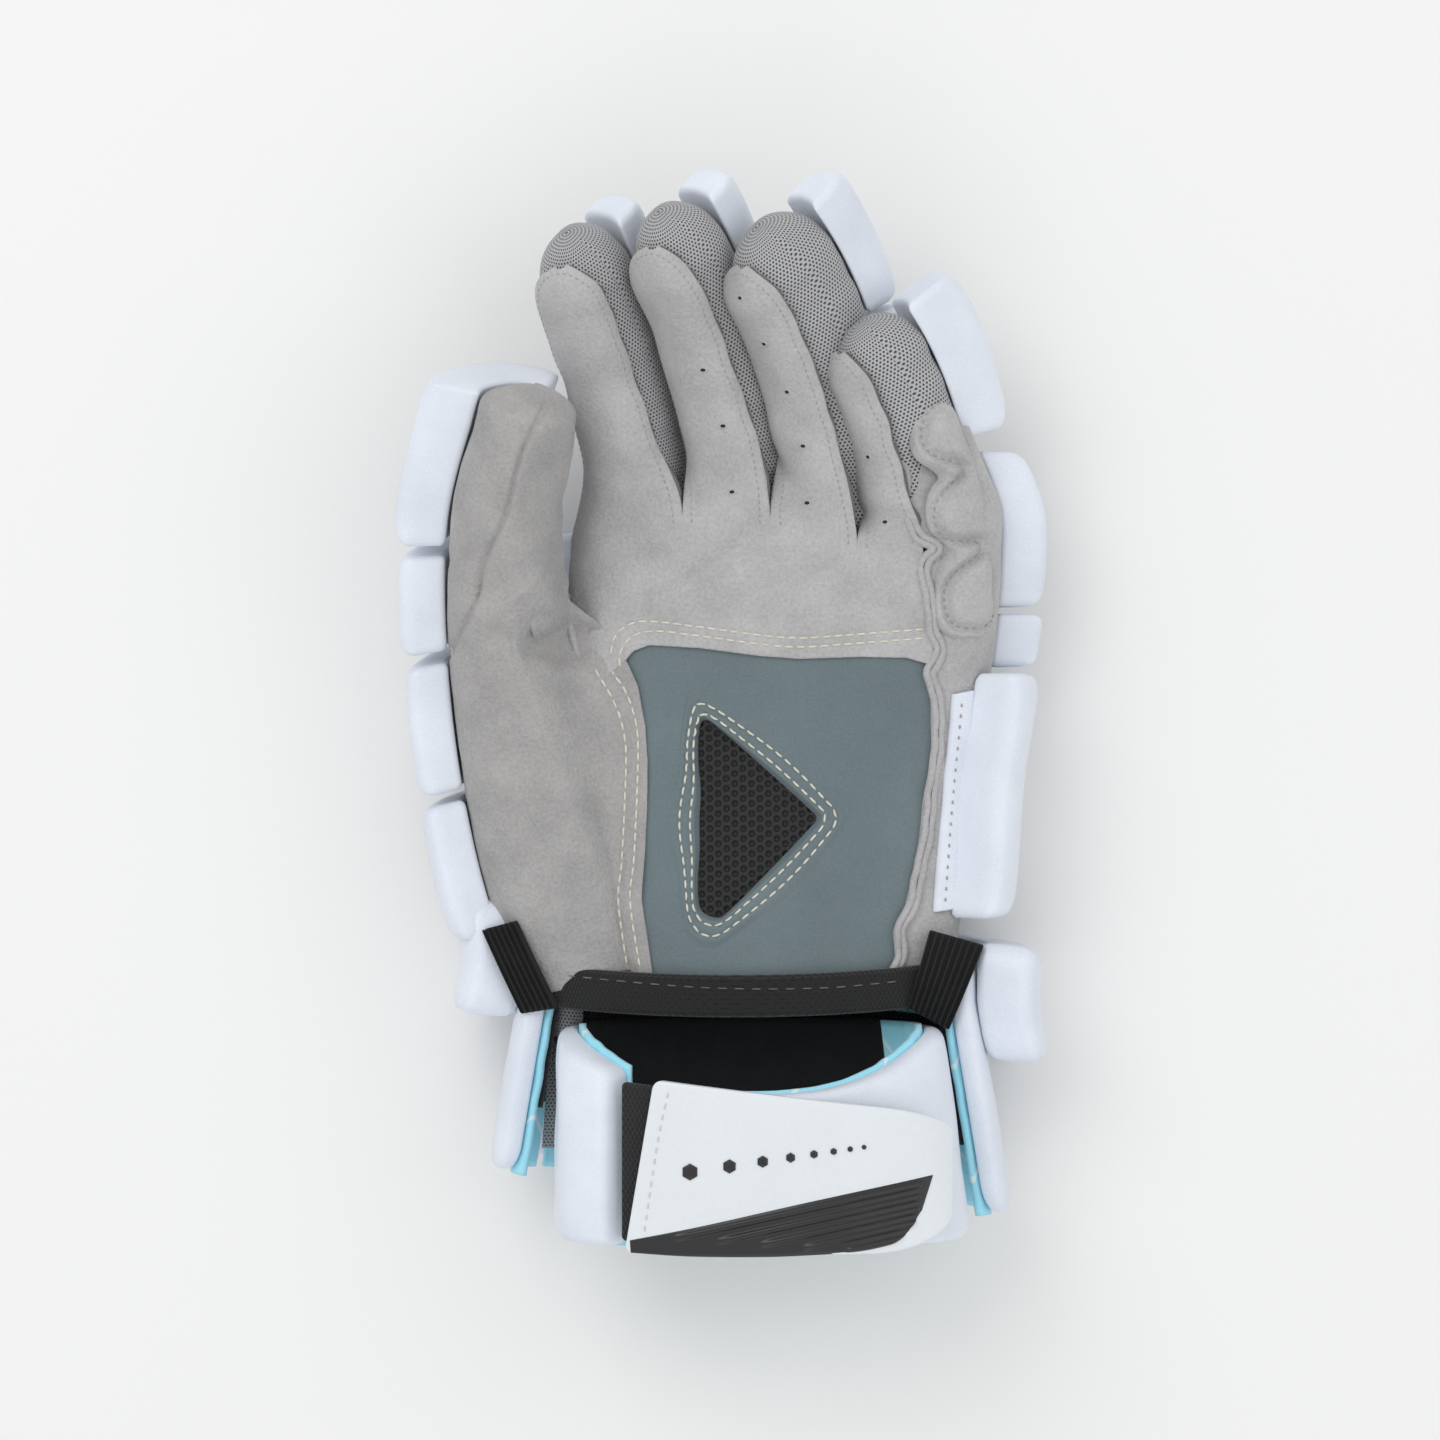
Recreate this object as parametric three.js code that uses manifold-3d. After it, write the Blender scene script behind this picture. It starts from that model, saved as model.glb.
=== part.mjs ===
// A left-hand lacrosse glove lying on its padded back, palm up.
// Millimetres. X runs across the palm towards the little finger, Y from the wrist towards the
// fingertips, Z up out of the palm. Lengths in the tables are shares of the named sizes.
import * as THREE from "three";
import { mergeVertices } from "three/addons/utils/BufferGeometryUtils.js";
import Module from "manifold-3d";

const wasm = await Module();
wasm.setup();

// Clearance between sewn pieces, and the cloth and leather walls.
const GAP = 0.3;
const SUEDE = 2;
const MESH_CLOTH = 1.6;

// The hand's hollow body.
const PALM_LENGTH = 150;
const PALM_WIDTH = 135;
const HAND_DEPTH = 36;
const HAND_HEIGHT = 32;
const WRIST_LINE = -0.04;
const CROTCH_LINE = 0.955;

// Foam under the white skin.
const BACK_PAD = 15.5;
const FINGER_PAD = 12.5;
const THUMB_PAD = 14;
const SIDE_PAD = 5;
const SIDE_ROLL = 17;
const PAD_SEAM = 1.2;

// Outline of the hand's body: shares of the palm's length and width and of the hand's depth,
// how far it rises, and how far it tips up towards the little finger, in degrees.
const HAND = [
  { along: -0.2, left: -0.42, right: 0.45, deep: 0.94, rise: 0, tip: 0 },
  { along: 0.13, left: -0.46, right: 0.52, deep: 1, rise: 0, tip: 0 },
  { along: 0.4, left: -0.46, right: 0.54, deep: 1, rise: 0, tip: 1 },
  { along: 0.67, left: -0.4, right: 0.59, deep: 1, rise: 0.03, tip: 4 },
  { along: 0.87, left: -0.37, right: 0.61, deep: 0.96, rise: 0.08, tip: 7 },
  { along: 1.0, left: -0.365, right: 0.6, deep: 0.92, rise: 0.11, tip: 8 },
  { along: 1.3, left: -0.33, right: 0.46, deep: 0.86, rise: 0.12, tip: 8 },
];
const HAND_SQUARENESS = 3.2;

// The thumb from the wrist to its tip: places are shares of the palm's width and length and of
// the hand's depth, widths and depths shares of the thumb's own.
const THUMB_WIDTH = 36;
const THUMB_DEPTH = 34;
const THUMB_ROLL = -34;
const THUMB_ROLL_START = 0.2;
const THUMB_ROLL_SPAN = 0.5;
const TUBE_SQUARENESS = 2.5;
const THUMB = [
  { x: -0.3, y: -0.12, z: 0.9, wide: 0.9, deep: 0.8 },
  { x: -0.38, y: 0.14, z: 1.0, wide: 1.32, deep: 1.02 },
  { x: -0.44, y: 0.4, z: 1.06, wide: 1.36, deep: 1.1 },
  { x: -0.5, y: 0.66, z: 1.22, wide: 1.12, deep: 1.06 },
  { x: -0.52, y: 0.92, z: 1.6, wide: 0.9, deep: 0.98 },
  { x: -0.475, y: 1.12, z: 1.98, wide: 0.76, deep: 0.92 },
  { x: -0.45, y: 1.21, z: 2.16, wide: 0.7, deep: 0.86 },
];
const THUMB_PADS = [
  { part: "base", from: 0.17, to: 0.345, back: 222 },
  { part: "lower", from: 0.36, to: 0.515, back: 236 },
  { part: "upper", from: 0.53, to: 0.64, back: 250 },
  { part: "tip", from: 0.655, to: 0.97, back: 248 },
];
const THUMB_PAD_FROM = 150;

// Fingers: where each leaves the palm (shares of its width, its length and the hand's depth),
// its own length, width and depth, in degrees how far it leans towards the thumb, rolls about
// itself, curls, and twists on from root to tip, and its pad's share of the padding.
const pose = (lean, roll, curl, twist) => ({ lean, roll, curl, twist });
const form = (length, width, depth, pad) => ({ length, width, depth, pad });
const FINGERS = {
  index: { x: -0.198, y: 0.969, z: 0.92, ...form(97, 26.5, 31, 0.96), ...pose(8, 20, 46, 34) },
  middle: { x: 0.037, y: 1.0, z: 1.01, ...form(100, 26, 31, 1), ...pose(6, 28, 50, 28) },
  ring: { x: 0.25, y: 1.0, z: 1.13, ...form(94, 25.5, 37, 1.2), ...pose(0, 42, 54, 22) },
  little: { x: 0.427, y: 0.892, z: 1.25, ...form(76, 23.5, 31, 1.5), ...pose(-3, 54, 46, 20) },
};
const TIP_DOME = 0.2;
const FINGER_TAPER = 0.08;
// Pads along each finger, as shares of its length, and their width as a share of the finger's.
const FINGER_PADS = {
  index: { base: [0.04, 0.29], mid: [0.31, 0.53], tip: [0.55, 0.95] },
  middle: { base: [0.04, 0.29], mid: [0.31, 0.53], tip: [0.55, 0.95] },
  ring: { base: [0.04, 0.29], mid: [0.31, 0.53], tip: [0.55, 0.95] },
  little: { tip: [0.49, 0.96] },
};
const FINGER_PAD_WIDTH = 0.68;
// The suede strip up the front of each finger.
const STRIP_END = 0.86;
const STRIP_FROM = 38;
const STRIP_TO = 152;
const STRIP_SQUARE_END = 0.7;

// The cuff: a black underlay that flares from the wrist, the padded roll round it, three
// flaps with blue linings, and the edging and elastic straps on the palm side.
const CUFF_WIDTH = 123;
const CUFF_DEPTH = 42;
const CUFF_SHIFT = 5;
const CUFF_TILT = 5;
const CUFF_SQUARENESS = 2.8;
const CUFF_FLARE = 11;
const UNDERLAY_TOP = -6.5;
const UNDERLAY_LOW = -44;
const UNDERLAY = 1.6;
const ROLL_LOW = -17;
const ROLL_HEIGHT = 36;
const ROLL_THICKNESS = 20;
const FLAP_HEIGHT = 78;
const FLAP_TOP = 14;
const FLAP_THICKNESS = 7;
const LINING = 2.2;
const HEM_TOP = 6;
const HEM_SAG = 5;
const HEM_HEIGHT = 12;
const HEM = 4;
const ELASTIC = 2;
const ELASTIC_BULGE = 2;

// The loose wristband: a padded ring with a strap and a plate across its front.
const BAND_WIDTH = 119.4;
const BAND_HEIGHT = 50;
const BAND_DEPTH = 66;
const BAND_SHIFT = 4.8;
const BAND_FLARE = 4.5;
const BAND_DRIFT = 0.8;
const BAND_PADDING = 7;
const BAND_LEFT_END = -36;
const BAND_RIGHT_END = -8;
const BAND_END_PADDING = 4;
const BAND_TOP = -13;
const BAND_DIP = 18;
const BAND_LOW = -77;
const BAND_SQUARENESS = 2.5;
const PLATE_LEFT = -30;
const PLATE_RIGHT = 61;
const PLATE_HEIGHT = 52;
const PLATE_SLOPE = 11;
const PLATE_SKEW = 8;
const STRAP_LEFT = -33;
const PLATE = 3;

const rad = THREE.MathUtils.degToRad;
const V = (x, y, z) => new THREE.Vector3(x, y, z);

// A column of a table at a place along it, on a smooth curve through the rows.
function column(rows, key, name, at) {
  let i = rows.findIndex((row) => row[key] > at) - 1;
  if (i < 0) i = at <= rows[0][key] ? 0 : rows.length - 2;
  const slope = (k) => {
    const a = rows[Math.max(k - 1, 0)];
    const b = rows[Math.min(k + 1, rows.length - 1)];
    return (b[name] - a[name]) / (b[key] - a[key]);
  };
  const span = rows[i + 1][key] - rows[i][key];
  const t = (at - rows[i][key]) / span;
  const t2 = t * t;
  const t3 = t2 * t;
  return (
    rows[i][name] * (2 * t3 - 3 * t2 + 1) +
    slope(i) * span * (t3 - 2 * t2 + t) +
    rows[i + 1][name] * (3 * t2 - 2 * t3) +
    slope(i + 1) * span * (t3 - t2)
  );
}

// A tube gives, at a share of its length, the centre, the side and front directions and the
// half sizes of its section, a rounded rectangle.
const LEAST = 0.2;
const power = (value, exponent) => Math.sign(value) * Math.abs(value) ** exponent;
function tubePoint(tube, at, angle, out = 0) {
  const s = tube(at);
  const e = 2 / s.square;
  return s.centre
    .clone()
    .addScaledVector(s.side, power(Math.cos(angle), e) * Math.max(s.half + out, LEAST))
    .addScaledVector(s.front, power(Math.sin(angle), e) * Math.max(s.deep + out, LEAST));
}

function hand(at) {
  const left = column(HAND, "along", "left", at) * PALM_WIDTH;
  const right = column(HAND, "along", "right", at) * PALM_WIDTH;
  const tip = rad(column(HAND, "along", "tip", at));
  const middle = (left + right) / 2;
  const rise = column(HAND, "along", "rise", at) * HAND_DEPTH;
  return {
    centre: V(middle, at * PALM_LENGTH, HAND_HEIGHT + rise + middle * Math.sin(tip)),
    side: V(Math.cos(tip), 0, Math.sin(tip)),
    front: V(-Math.sin(tip), 0, Math.cos(tip)),
    half: (right - left) / 2,
    deep: (column(HAND, "along", "deep", at) * HAND_DEPTH) / 2,
    square: HAND_SQUARENESS,
  };
}

const thumbRows = THUMB.map((row, i) => ({ ...row, at: i / (THUMB.length - 1) }));
function thumbPlace(at) {
  return V(
    column(thumbRows, "at", "x", at) * PALM_WIDTH,
    column(thumbRows, "at", "y", at) * PALM_LENGTH,
    column(thumbRows, "at", "z", at) * HAND_DEPTH,
  );
}
// The end of a tube closes in a dome over the last stretch of its length.
const dome = (at, from) => Math.sqrt(Math.max(0, 1 - (Math.max(0, at - from) / (1 - from)) ** 2));
function thumb(at, closed = true) {
  const step = 0.01;
  const along = thumbPlace(at + step).sub(thumbPlace(at - step)).normalize();
  const rolled = THUMB_ROLL * Math.min(1, Math.max(0, (at - THUMB_ROLL_START) / THUMB_ROLL_SPAN));
  const turn = new THREE.Quaternion().setFromAxisAngle(along, rad(rolled));
  const side = V(0, 0, -1).cross(along).normalize().applyQuaternion(turn);
  const end = closed ? dome(at, 1 - TIP_DOME / 2) : 1;
  return {
    centre: thumbPlace(at),
    side,
    front: side.clone().cross(along),
    half: (column(thumbRows, "at", "wide", at) * THUMB_WIDTH * end) / 2,
    deep: (column(thumbRows, "at", "deep", at) * THUMB_DEPTH * end) / 2,
    square: TUBE_SQUARENESS,
  };
}

// A finger bends on an arc, rolled so that it curls towards the thumb.
function fingerTube(size, closed = true) {
  const lean = rad(size.lean);
  const roll = rad(size.roll);
  const ahead = V(-Math.sin(lean), Math.cos(lean), 0);
  const front = V(-Math.cos(lean) * Math.sin(roll), -Math.sin(lean) * Math.sin(roll), Math.cos(roll));
  const side = ahead.clone().cross(front);
  const base = V(size.x * PALM_WIDTH, size.y * PALM_LENGTH, size.z * HAND_DEPTH);
  const curl = rad(size.curl);
  return (at) => {
    const bend = curl * Math.max(at, 0);
    const reach = (Math.sin(bend) / curl + Math.min(at, 0)) * size.length;
    const rise = ((1 - Math.cos(bend)) / curl) * size.length;
    const end = (closed ? dome(at, 1 - TIP_DOME) : 1) * (1 - FINGER_TAPER * at);
    const up = front.clone().multiplyScalar(Math.cos(bend)).addScaledVector(ahead, -Math.sin(bend));
    const along = up.clone().cross(side);
    const turn = -rad(size.twist * Math.max(at, 0));
    return {
      centre: base.clone().addScaledVector(ahead, reach).addScaledVector(front, rise),
      side: side.clone().applyAxisAngle(along, turn),
      front: up.applyAxisAngle(along, turn),
      half: (size.width / 2) * end,
      deep: (size.depth / 2) * end,
      square: TUBE_SQUARENESS,
    };
  };
}

// Closed surfaces from grids of points.
function geometryFrom(points, triangles) {
  return new THREE.BufferGeometry()
    .setAttribute("position", new THREE.Float32BufferAttribute(points.flatMap((p) => [p.x, p.y, p.z]), 3))
    .setIndex(triangles);
}

// Rings of points one after another, with a flat fan over each end.
function loft(rings) {
  const n = rings[0].length;
  const points = rings.flat();
  const triangles = [];
  for (let j = 0; j < rings.length - 1; j++)
    for (let i = 0; i < n; i++) {
      const [a, b] = [j * n + i, j * n + ((i + 1) % n)];
      triangles.push(a, b + n, b, a, a + n, b + n);
    }
  const centre = (ring) => ring.reduce((sum, p) => sum.add(p), V(0, 0, 0)).divideScalar(n);
  const first = points.push(centre(rings[0])) - 1;
  const last = points.push(centre(rings.at(-1))) - 1;
  for (let i = 0; i < n; i++) {
    const next = (i + 1) % n;
    triangles.push(first, i, next);
    triangles.push(last, (rings.length - 1) * n + next, (rings.length - 1) * n + i);
  }
  return geometryFrom(points, triangles);
}

// A patch between two surfaces over a grid of two shares, with walls round its edge.
function patch(us, vs, under, over) {
  const points = [];
  for (const surface of [under, over]) for (const u of us) for (const v of vs) points.push(surface(u, v));
  const m = vs.length;
  const layer = us.length * m;
  const triangles = [];
  const quad = (a, b, c, d) => triangles.push(a, b, c, a, c, d);
  for (let i = 0; i < us.length - 1; i++)
    for (let j = 0; j < m - 1; j++) {
      const a = i * m + j;
      quad(a, a + 1, a + m + 1, a + m);
      quad(layer + a, layer + a + m, layer + a + m + 1, layer + a + 1);
    }
  const rim = [];
  for (let i = 0; i < us.length - 1; i++) rim.push(i * m);
  for (let j = 0; j < m - 1; j++) rim.push((us.length - 1) * m + j);
  for (let i = us.length - 1; i > 0; i--) rim.push(i * m + m - 1);
  for (let j = m - 1; j > 0; j--) rim.push(j);
  rim.forEach((a, k) => {
    const b = rim[(k + 1) % rim.length];
    quad(a, b, layer + b, layer + a);
  });
  return geometryFrom(points, triangles);
}

const WELD = 1e-4;
const FLAT_ENOUGH = 0.04;
function solidOf(geometry) {
  const bare = new THREE.BufferGeometry()
    .setAttribute("position", geometry.getAttribute("position"))
    .setIndex(geometry.getIndex());
  const merged = mergeVertices(bare, WELD);
  return new wasm.Manifold(
    new wasm.Mesh({
      numProp: 3,
      vertProperties: new Float32Array(merged.attributes.position.array),
      triVerts: new Uint32Array(merged.index.array),
    }),
  );
}

function geometryOf(solid) {
  const mesh = solid.simplify(FLAT_ENOUGH).getMesh();
  return new THREE.BufferGeometry()
    .setAttribute("position", new THREE.BufferAttribute(new Float32Array(mesh.vertProperties), 3))
    .setIndex(new THREE.BufferAttribute(new Uint32Array(mesh.triVerts), 1));
}

const largest = (solid) => solid.decompose().sort((a, b) => b.volume() - a.volume())[0];

const shares = (count, from = 0, to = 1) =>
  Array.from({ length: count + 1 }, (_, i) => from + ((to - from) * i) / count);
const ring = (tube, at, out, sides) =>
  shares(sides)
    .slice(0, sides)
    .map((k) => tubePoint(tube, at, k * 2 * Math.PI, out));
const tubeSolid = (tube, places, out, sides) => solidOf(loft(places.map((at) => ring(tube, at, out, sides))));

const glove = new THREE.Group();
const LOOKS = {
  suede: { color: 0xb5b3b3, roughness: 0.9 },
  mesh: { color: 0x8f8f8f, roughness: 0.9 },
  pad: { color: 0xe9edf5, roughness: 0.4 },
  patch: { color: 0x66777a, roughness: 0.85 },
  knit: { color: 0x1b1b1c, roughness: 0.95 },
  lining: { color: 0xa6dcf0, roughness: 0.8 },
};
function add(name, geometry, look) {
  const material = new THREE.MeshStandardMaterial({ ...LOOKS[look], metalness: 0 });
  const mesh = new THREE.Mesh(geometry, material);
  mesh.name = name;
  glove.add(mesh);
}

const WHOLE = 1000;
// A block with its lowest corner and size, and a prism through the whole depth over an outline.
function block(low, size) {
  const box = new THREE.BoxGeometry(...size);
  box.translate(...low.map((v, i) => v + size[i] / 2));
  box.deleteAttribute("normal");
  box.deleteAttribute("uv");
  return solidOf(mergeVertices(box, WELD));
}
function prism(outline) {
  const shape = new THREE.Shape(outline.map(([x, y]) => new THREE.Vector2(x, y)));
  const solid = new THREE.ExtrudeGeometry(shape, { depth: WHOLE, bevelEnabled: false });
  solid.translate(0, 0, -WHOLE / 2);
  solid.deleteAttribute("normal");
  solid.deleteAttribute("uv");
  return solidOf(mergeVertices(solid, WELD));
}
const above = (z) => block([-WHOLE, -WHOLE, z], [2 * WHOLE, 2 * WHOLE, WHOLE]);
const beyond = (y) => block([-WHOLE, y, -WHOLE], [2 * WHOLE, WHOLE, 2 * WHOLE]);

// Outer and inner forms of the hand, the thumb and the fingers. Each finger is pressed flat
// where it meets the next one towards the little finger.
const HAND_PLACES = [-0.1, 0.13, 0.35, 0.55, 0.75, 0.87];
const THUMB_PLACES = [0, 0.16, 0.32, 0.48, 0.64, 0.8, 0.92, 0.965, 0.99];
const HAND_SIDES = 20;
const THUMB_SIDES = 12;
const FINGER_SIDES = 12;
const handSolid = (out, top) => tubeSolid(hand, [...HAND_PLACES, top], out, HAND_SIDES);
const thumbSolid = (out, shift) => tubeSolid(thumb, THUMB_PLACES.map((at) => at - shift), out, THUMB_SIDES);
const fingers = Object.entries(FINGERS);
const FINGER_PLACES = [0, 0.22, 0.44, 0.64, 0.8, 0.9, 0.96, 0.99];
const CROTCH = CROTCH_LINE * PALM_LENGTH;
function fingerSolid(size, out, start, shift = 0) {
  const places = FINGER_PLACES.slice(1).map((at) => at - shift);
  return tubeSolid(fingerTube(size), [start, ...places], out, FINGER_SIDES);
}
const fingerStart = (size) => Math.min(0, (CROTCH - size.y * PALM_LENGTH) / size.length - 0.05);

const palmEnd = CROTCH_LINE - SUEDE / PALM_LENGTH;
const TIP_WALL = 0.02;
let hollow = handSolid(-SUEDE, palmEnd).add(thumbSolid(-SUEDE, TIP_WALL));
hollow = hollow.add(tubeSolid(hand, [-0.2, 0], -SUEDE, HAND_SIDES));
for (const [, size] of fingers) {
  const openTube = fingerTube(size, false);
  const finger = tubeSolid(openTube, [fingerStart(size) - 0.1, 0.3], -MESH_CLOTH, FINGER_SIDES);
  hollow = hollow.add(size === FINGERS.little ? finger : finger.intersect(beyond(CROTCH - 2 * SUEDE)));
}
const little = FINGERS.little;
// The little finger leaves the hand a little below the others.
const LITTLE_START = -0.02;
const littleClear = fingerSolid(little, GAP, LITTLE_START);
const handOuter = handSolid(0, CROTCH_LINE).add(thumbSolid(0, 0)).subtract(littleClear);
const shell = handOuter.subtract(hollow).intersect(beyond(WRIST_LINE * PALM_LENGTH));

// Seams between the panels, as places on the palm: shares of its width and length.
const place = ([x, y]) => [x * PALM_WIDTH, y * PALM_LENGTH];
const PATCH_LEFT = [[-0.2, -0.2], [-0.2, 0.35], [-0.195, 0.55], [-0.245, 0.68]];
const PATCH_TOP = [[-0.205, 0.71], [-0.08, 0.7], [0.1, 0.675], [0.25, 0.675], [0.46, 0.7]];
const SIDE_SEAM = [[0.465, 0.66], [0.46, 0.5], [0.42, 0.25], [0.38, 0.05], [0.36, -0.2]];
const SIDE_SEAM_TOP = [[0.44, 0.8], [0.42, 1.2]];
const VENT = [[-0.087, 0.155], [-0.087, 0.53], [-0.06, 0.545], [0.19, 0.36], [0.19, 0.33], [-0.04, 0.135]];
const LEFT_EDGE = -1;
const RIGHT_EDGE = 1;
const THUMB_ROOT = 0.78;
const patchPrism = prism([...PATCH_LEFT, ...PATCH_TOP, ...SIDE_SEAM].map(place));
const THUMB_SEAM = [[-0.36, 0.74], [-0.405, 0.86], [-0.37, 1.4]];
const thumbPanel = prism([...PATCH_LEFT, ...THUMB_SEAM, [LEFT_EDGE, 1.4], [LEFT_EDGE, -0.2]].map(place));
const thumbPrism = thumbPanel.add(thumbSolid(1, 0).intersect(beyond(THUMB_ROOT * PALM_LENGTH)));
const GUSSET_SEAM = [[-0.66, 0.72], [-0.6, 0.82], [-0.555, 1.0], [-0.46, 1.3]];
const gussetPrism = prism([...GUSSET_SEAM, [LEFT_EDGE, 1.3], [LEFT_EDGE, 0.72]].map(place));
const sideSeam = [...SIDE_SEAM.toReversed(), [0.46, 0.7], ...SIDE_SEAM_TOP];
const sidePrism = prism([...sideSeam, [RIGHT_EDGE, 1.2], [RIGHT_EDGE, -0.2]].map(place));
const ventPrism = prism(VENT.map(place));
// The palm's lower edge curves down between its ends.
const hemLine = (x) => HEM_TOP - HEM_SAG * (1 - (x / (PALM_WIDTH / 2)) ** 2);
const hemPlaces = shares(8, -PALM_WIDTH / 2, PALM_WIDTH / 2).map((x) => [x, hemLine(x)]);
const palmPrism = prism([...hemPlaces, [WHOLE, HEM_TOP], [WHOLE, WHOLE], [-WHOLE, WHOLE], [-WHOLE, HEM_TOP]]);
const SPLIT_HEIGHT = HAND_HEIGHT + 3;
const front = shell.intersect(above(SPLIT_HEIGHT + GAP / 2)).intersect(palmPrism);
const back = shell.subtract(above(SPLIT_HEIGHT - GAP / 2));
// A panel's edge is cut back by its neighbour's prism moved by the clearance each way.
const SEAM_MOVES = [[GAP, 0], [-GAP, 0], [0, GAP], [0, -GAP]];
const trimmed = (solid, cutter) =>
  SEAM_MOVES.reduce((rest, [x, y]) => rest.subtract(cutter.translate(x, y, 0)), solid);

// The suede strip up a finger's front, with a round end.
const STRIP_STEPS = [0.2, 0.4, 0.55, STRIP_SQUARE_END, 0.79, STRIP_END];
const STRIP_CLEARANCE = 1.3;
const STRIP_OVERLAP = 0.02;
const STRIP_ROOT = 0.1;
const STRIP_SINK = 4.4;
function strip(size) {
  const tube = fingerTube(size, false);
  const middle = (STRIP_FROM + STRIP_TO) / 2;
  const spread = (STRIP_TO - STRIP_FROM) / 2;
  const root = Math.min(0, (CROTCH - size.y * PALM_LENGTH) / size.length) - STRIP_OVERLAP;
  const steps = [root - STRIP_ROOT, root, ...STRIP_STEPS];
  const at = (u, v, out) => {
    const end = Math.max(0, u - STRIP_SQUARE_END) / (STRIP_END + 0.01 - STRIP_SQUARE_END);
    const narrow = Math.sqrt(1 - end ** 2);
    const angle = middle + (2 * v - 1) * spread * narrow - size.twist * Math.max(u, 0);
    return tubePoint(tube, u, rad(angle), out);
  };
  const sink = (u) => (u < root ? STRIP_SINK : 0);
  return solidOf(
    patch(
      steps,
      shares(3),
      (u, v) => at(u, v, STRIP_CLEARANCE - sink(u)),
      (u, v) => at(u, v, STRIP_CLEARANCE + SUEDE - sink(u) / 2),
    ),
  );
}

let palm = trimmed(front.subtract(thumbPrism), patchPrism);
palm = trimmed(trimmed(palm, thumbPrism), sidePrism);
fingers.forEach(([, size], i) => {
  let own = strip(size);
  for (const other of [fingers[i - 1], fingers[i + 1]])
    if (other) own = own.subtract(fingerSolid(other[1], GAP, fingerStart(other[1])));
  palm = palm.add(largest(own));
});
add("palm_suede", geometryOf(largest(palm)), "suede");
add("palm_patch", geometryOf(front.intersect(patchPrism).subtract(ventPrism)), "patch");
const roundVent = block([-WHOLE, -WHOLE, -WHOLE], [2 * WHOLE, 2 * WHOLE, 2 * WHOLE]).subtract(ventPrism);
add("vent_mesh", geometryOf(trimmed(front.intersect(ventPrism), roundVent)), "knit");
const thumbFront = trimmed(front.intersect(thumbPrism), patchPrism);
add("thumb_suede", geometryOf(trimmed(thumbFront, gussetPrism)), "suede");
add("thumb_gusset", geometryOf(thumbFront.intersect(gussetPrism)), "suede");
add("side_suede", geometryOf(trimmed(front.intersect(sidePrism), patchPrism)), "suede");
add("hand_back", geometryOf(back), "suede");

// Knitted mesh sleeves of the four fingers.
fingers.forEach(([name, size], i) => {
  const start = fingerStart(size);
  let outer = fingerSolid(size, 0, start);
  let inner = fingerSolid(size, -MESH_CLOTH, start - TIP_WALL, TIP_WALL);
  if (i < fingers.length - 1) {
    const next = fingers[i + 1][1];
    outer = outer.subtract(fingerSolid(next, GAP, fingerStart(next)));
    inner = inner.subtract(fingerSolid(next, GAP + MESH_CLOTH, fingerStart(next)));
  }
  let sleeve = outer.subtract(inner);
  if (name !== "little") sleeve = sleeve.intersect(beyond(CROTCH + GAP));
  add("finger_sleeve_" + name, geometryOf(sleeve), "mesh");
});

// A foam pad over a stretch of a tube, between two angles, with a rounded top. What would
// reach below the surface that the glove lies on is pressed flat there.
const PAD_STEPS = [0, 0.14, 0.5, 0.86, 1];
const CROWN_POWER = 5;
const crown = (share) => Math.sqrt(1 - Math.abs(2 * share - 1) ** CROWN_POWER);
const PAD_EDGE = 0.6;
const padHeight = (u, v) => PAD_EDGE + (1 - PAD_EDGE) * crown(u) * crown(v);
function pressed(point) {
  point.z = Math.max(point.z, 0);
  return point;
}
function padOn(tube, from, to, angleFrom, angleTo, height, ...neighbours) {
  const at = (u, v, out) =>
    pressed(tubePoint(tube, from + (to - from) * u, rad(angleFrom + (angleTo - angleFrom) * v), out));
  const over = (u, v) => at(u, v, GAP + height * padHeight(u, v));
  const pad = patch(PAD_STEPS, PAD_STEPS, (u, v) => at(u, v, 2 * GAP), over);
  return clearOf(pad, neighbours);
}
// What a piece would share with its neighbours is cut from it.
function clearOf(geometry, neighbours) {
  const cut = neighbours.reduce((solid, neighbour) => solid.subtract(neighbour), solidOf(geometry));
  return geometryOf(largest(cut));
}
const handClear = handSolid(GAP, CROTCH_LINE).add(tubeSolid(hand, [-0.3, 0], GAP, HAND_SIDES));
const thumbClear = thumbSolid(GAP, 0);

// A finger's pad stands straight back from it, as wide all through.
function fingerPad(size, from, to) {
  const tube = fingerTube(size, false);
  const at = (u, v, out) => {
    const section = tube(from + (to - from) * u);
    const across = (2 * v - 1) * FINGER_PAD_WIDTH;
    const depth = (1 - Math.abs(across) ** section.square) ** (1 / section.square);
    return section.centre
      .clone()
      .addScaledVector(section.side, across * section.half)
      .addScaledVector(section.front, -depth * section.deep - out);
  };
  return patch(PAD_STEPS, PAD_STEPS, (u, v) => at(u, v, 2 * GAP), (u, v) => {
    const top = at(u, v, FINGER_PAD * size.pad * padHeight(u, v));
    const flat = at(u, 0.5, FINGER_PAD * size.pad * padHeight(u, v));
    const front = tube(from + (to - from) * u).front;
    return top.addScaledVector(front, flat.clone().sub(top).dot(front));
  });
}
fingers.forEach(([name, size], i) => {
  const next = fingers[i + 1] ? [fingerSolid(fingers[i + 1][1], GAP, fingerStart(fingers[i + 1][1]))] : [];
  for (const [part, [from, to]] of Object.entries(FINGER_PADS[name]))
    add(`finger_pad_${name}_${part}`, clearOf(fingerPad(size, from, to), next), "pad");
});
const openThumb = (at) => thumb(at, false);
const THUMB_PADS_FROM = 29;
const belowPads = block([-WHOLE, -WHOLE, -WHOLE], [2 * WHOLE, WHOLE + THUMB_PADS_FROM, 2 * WHOLE]);
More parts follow.
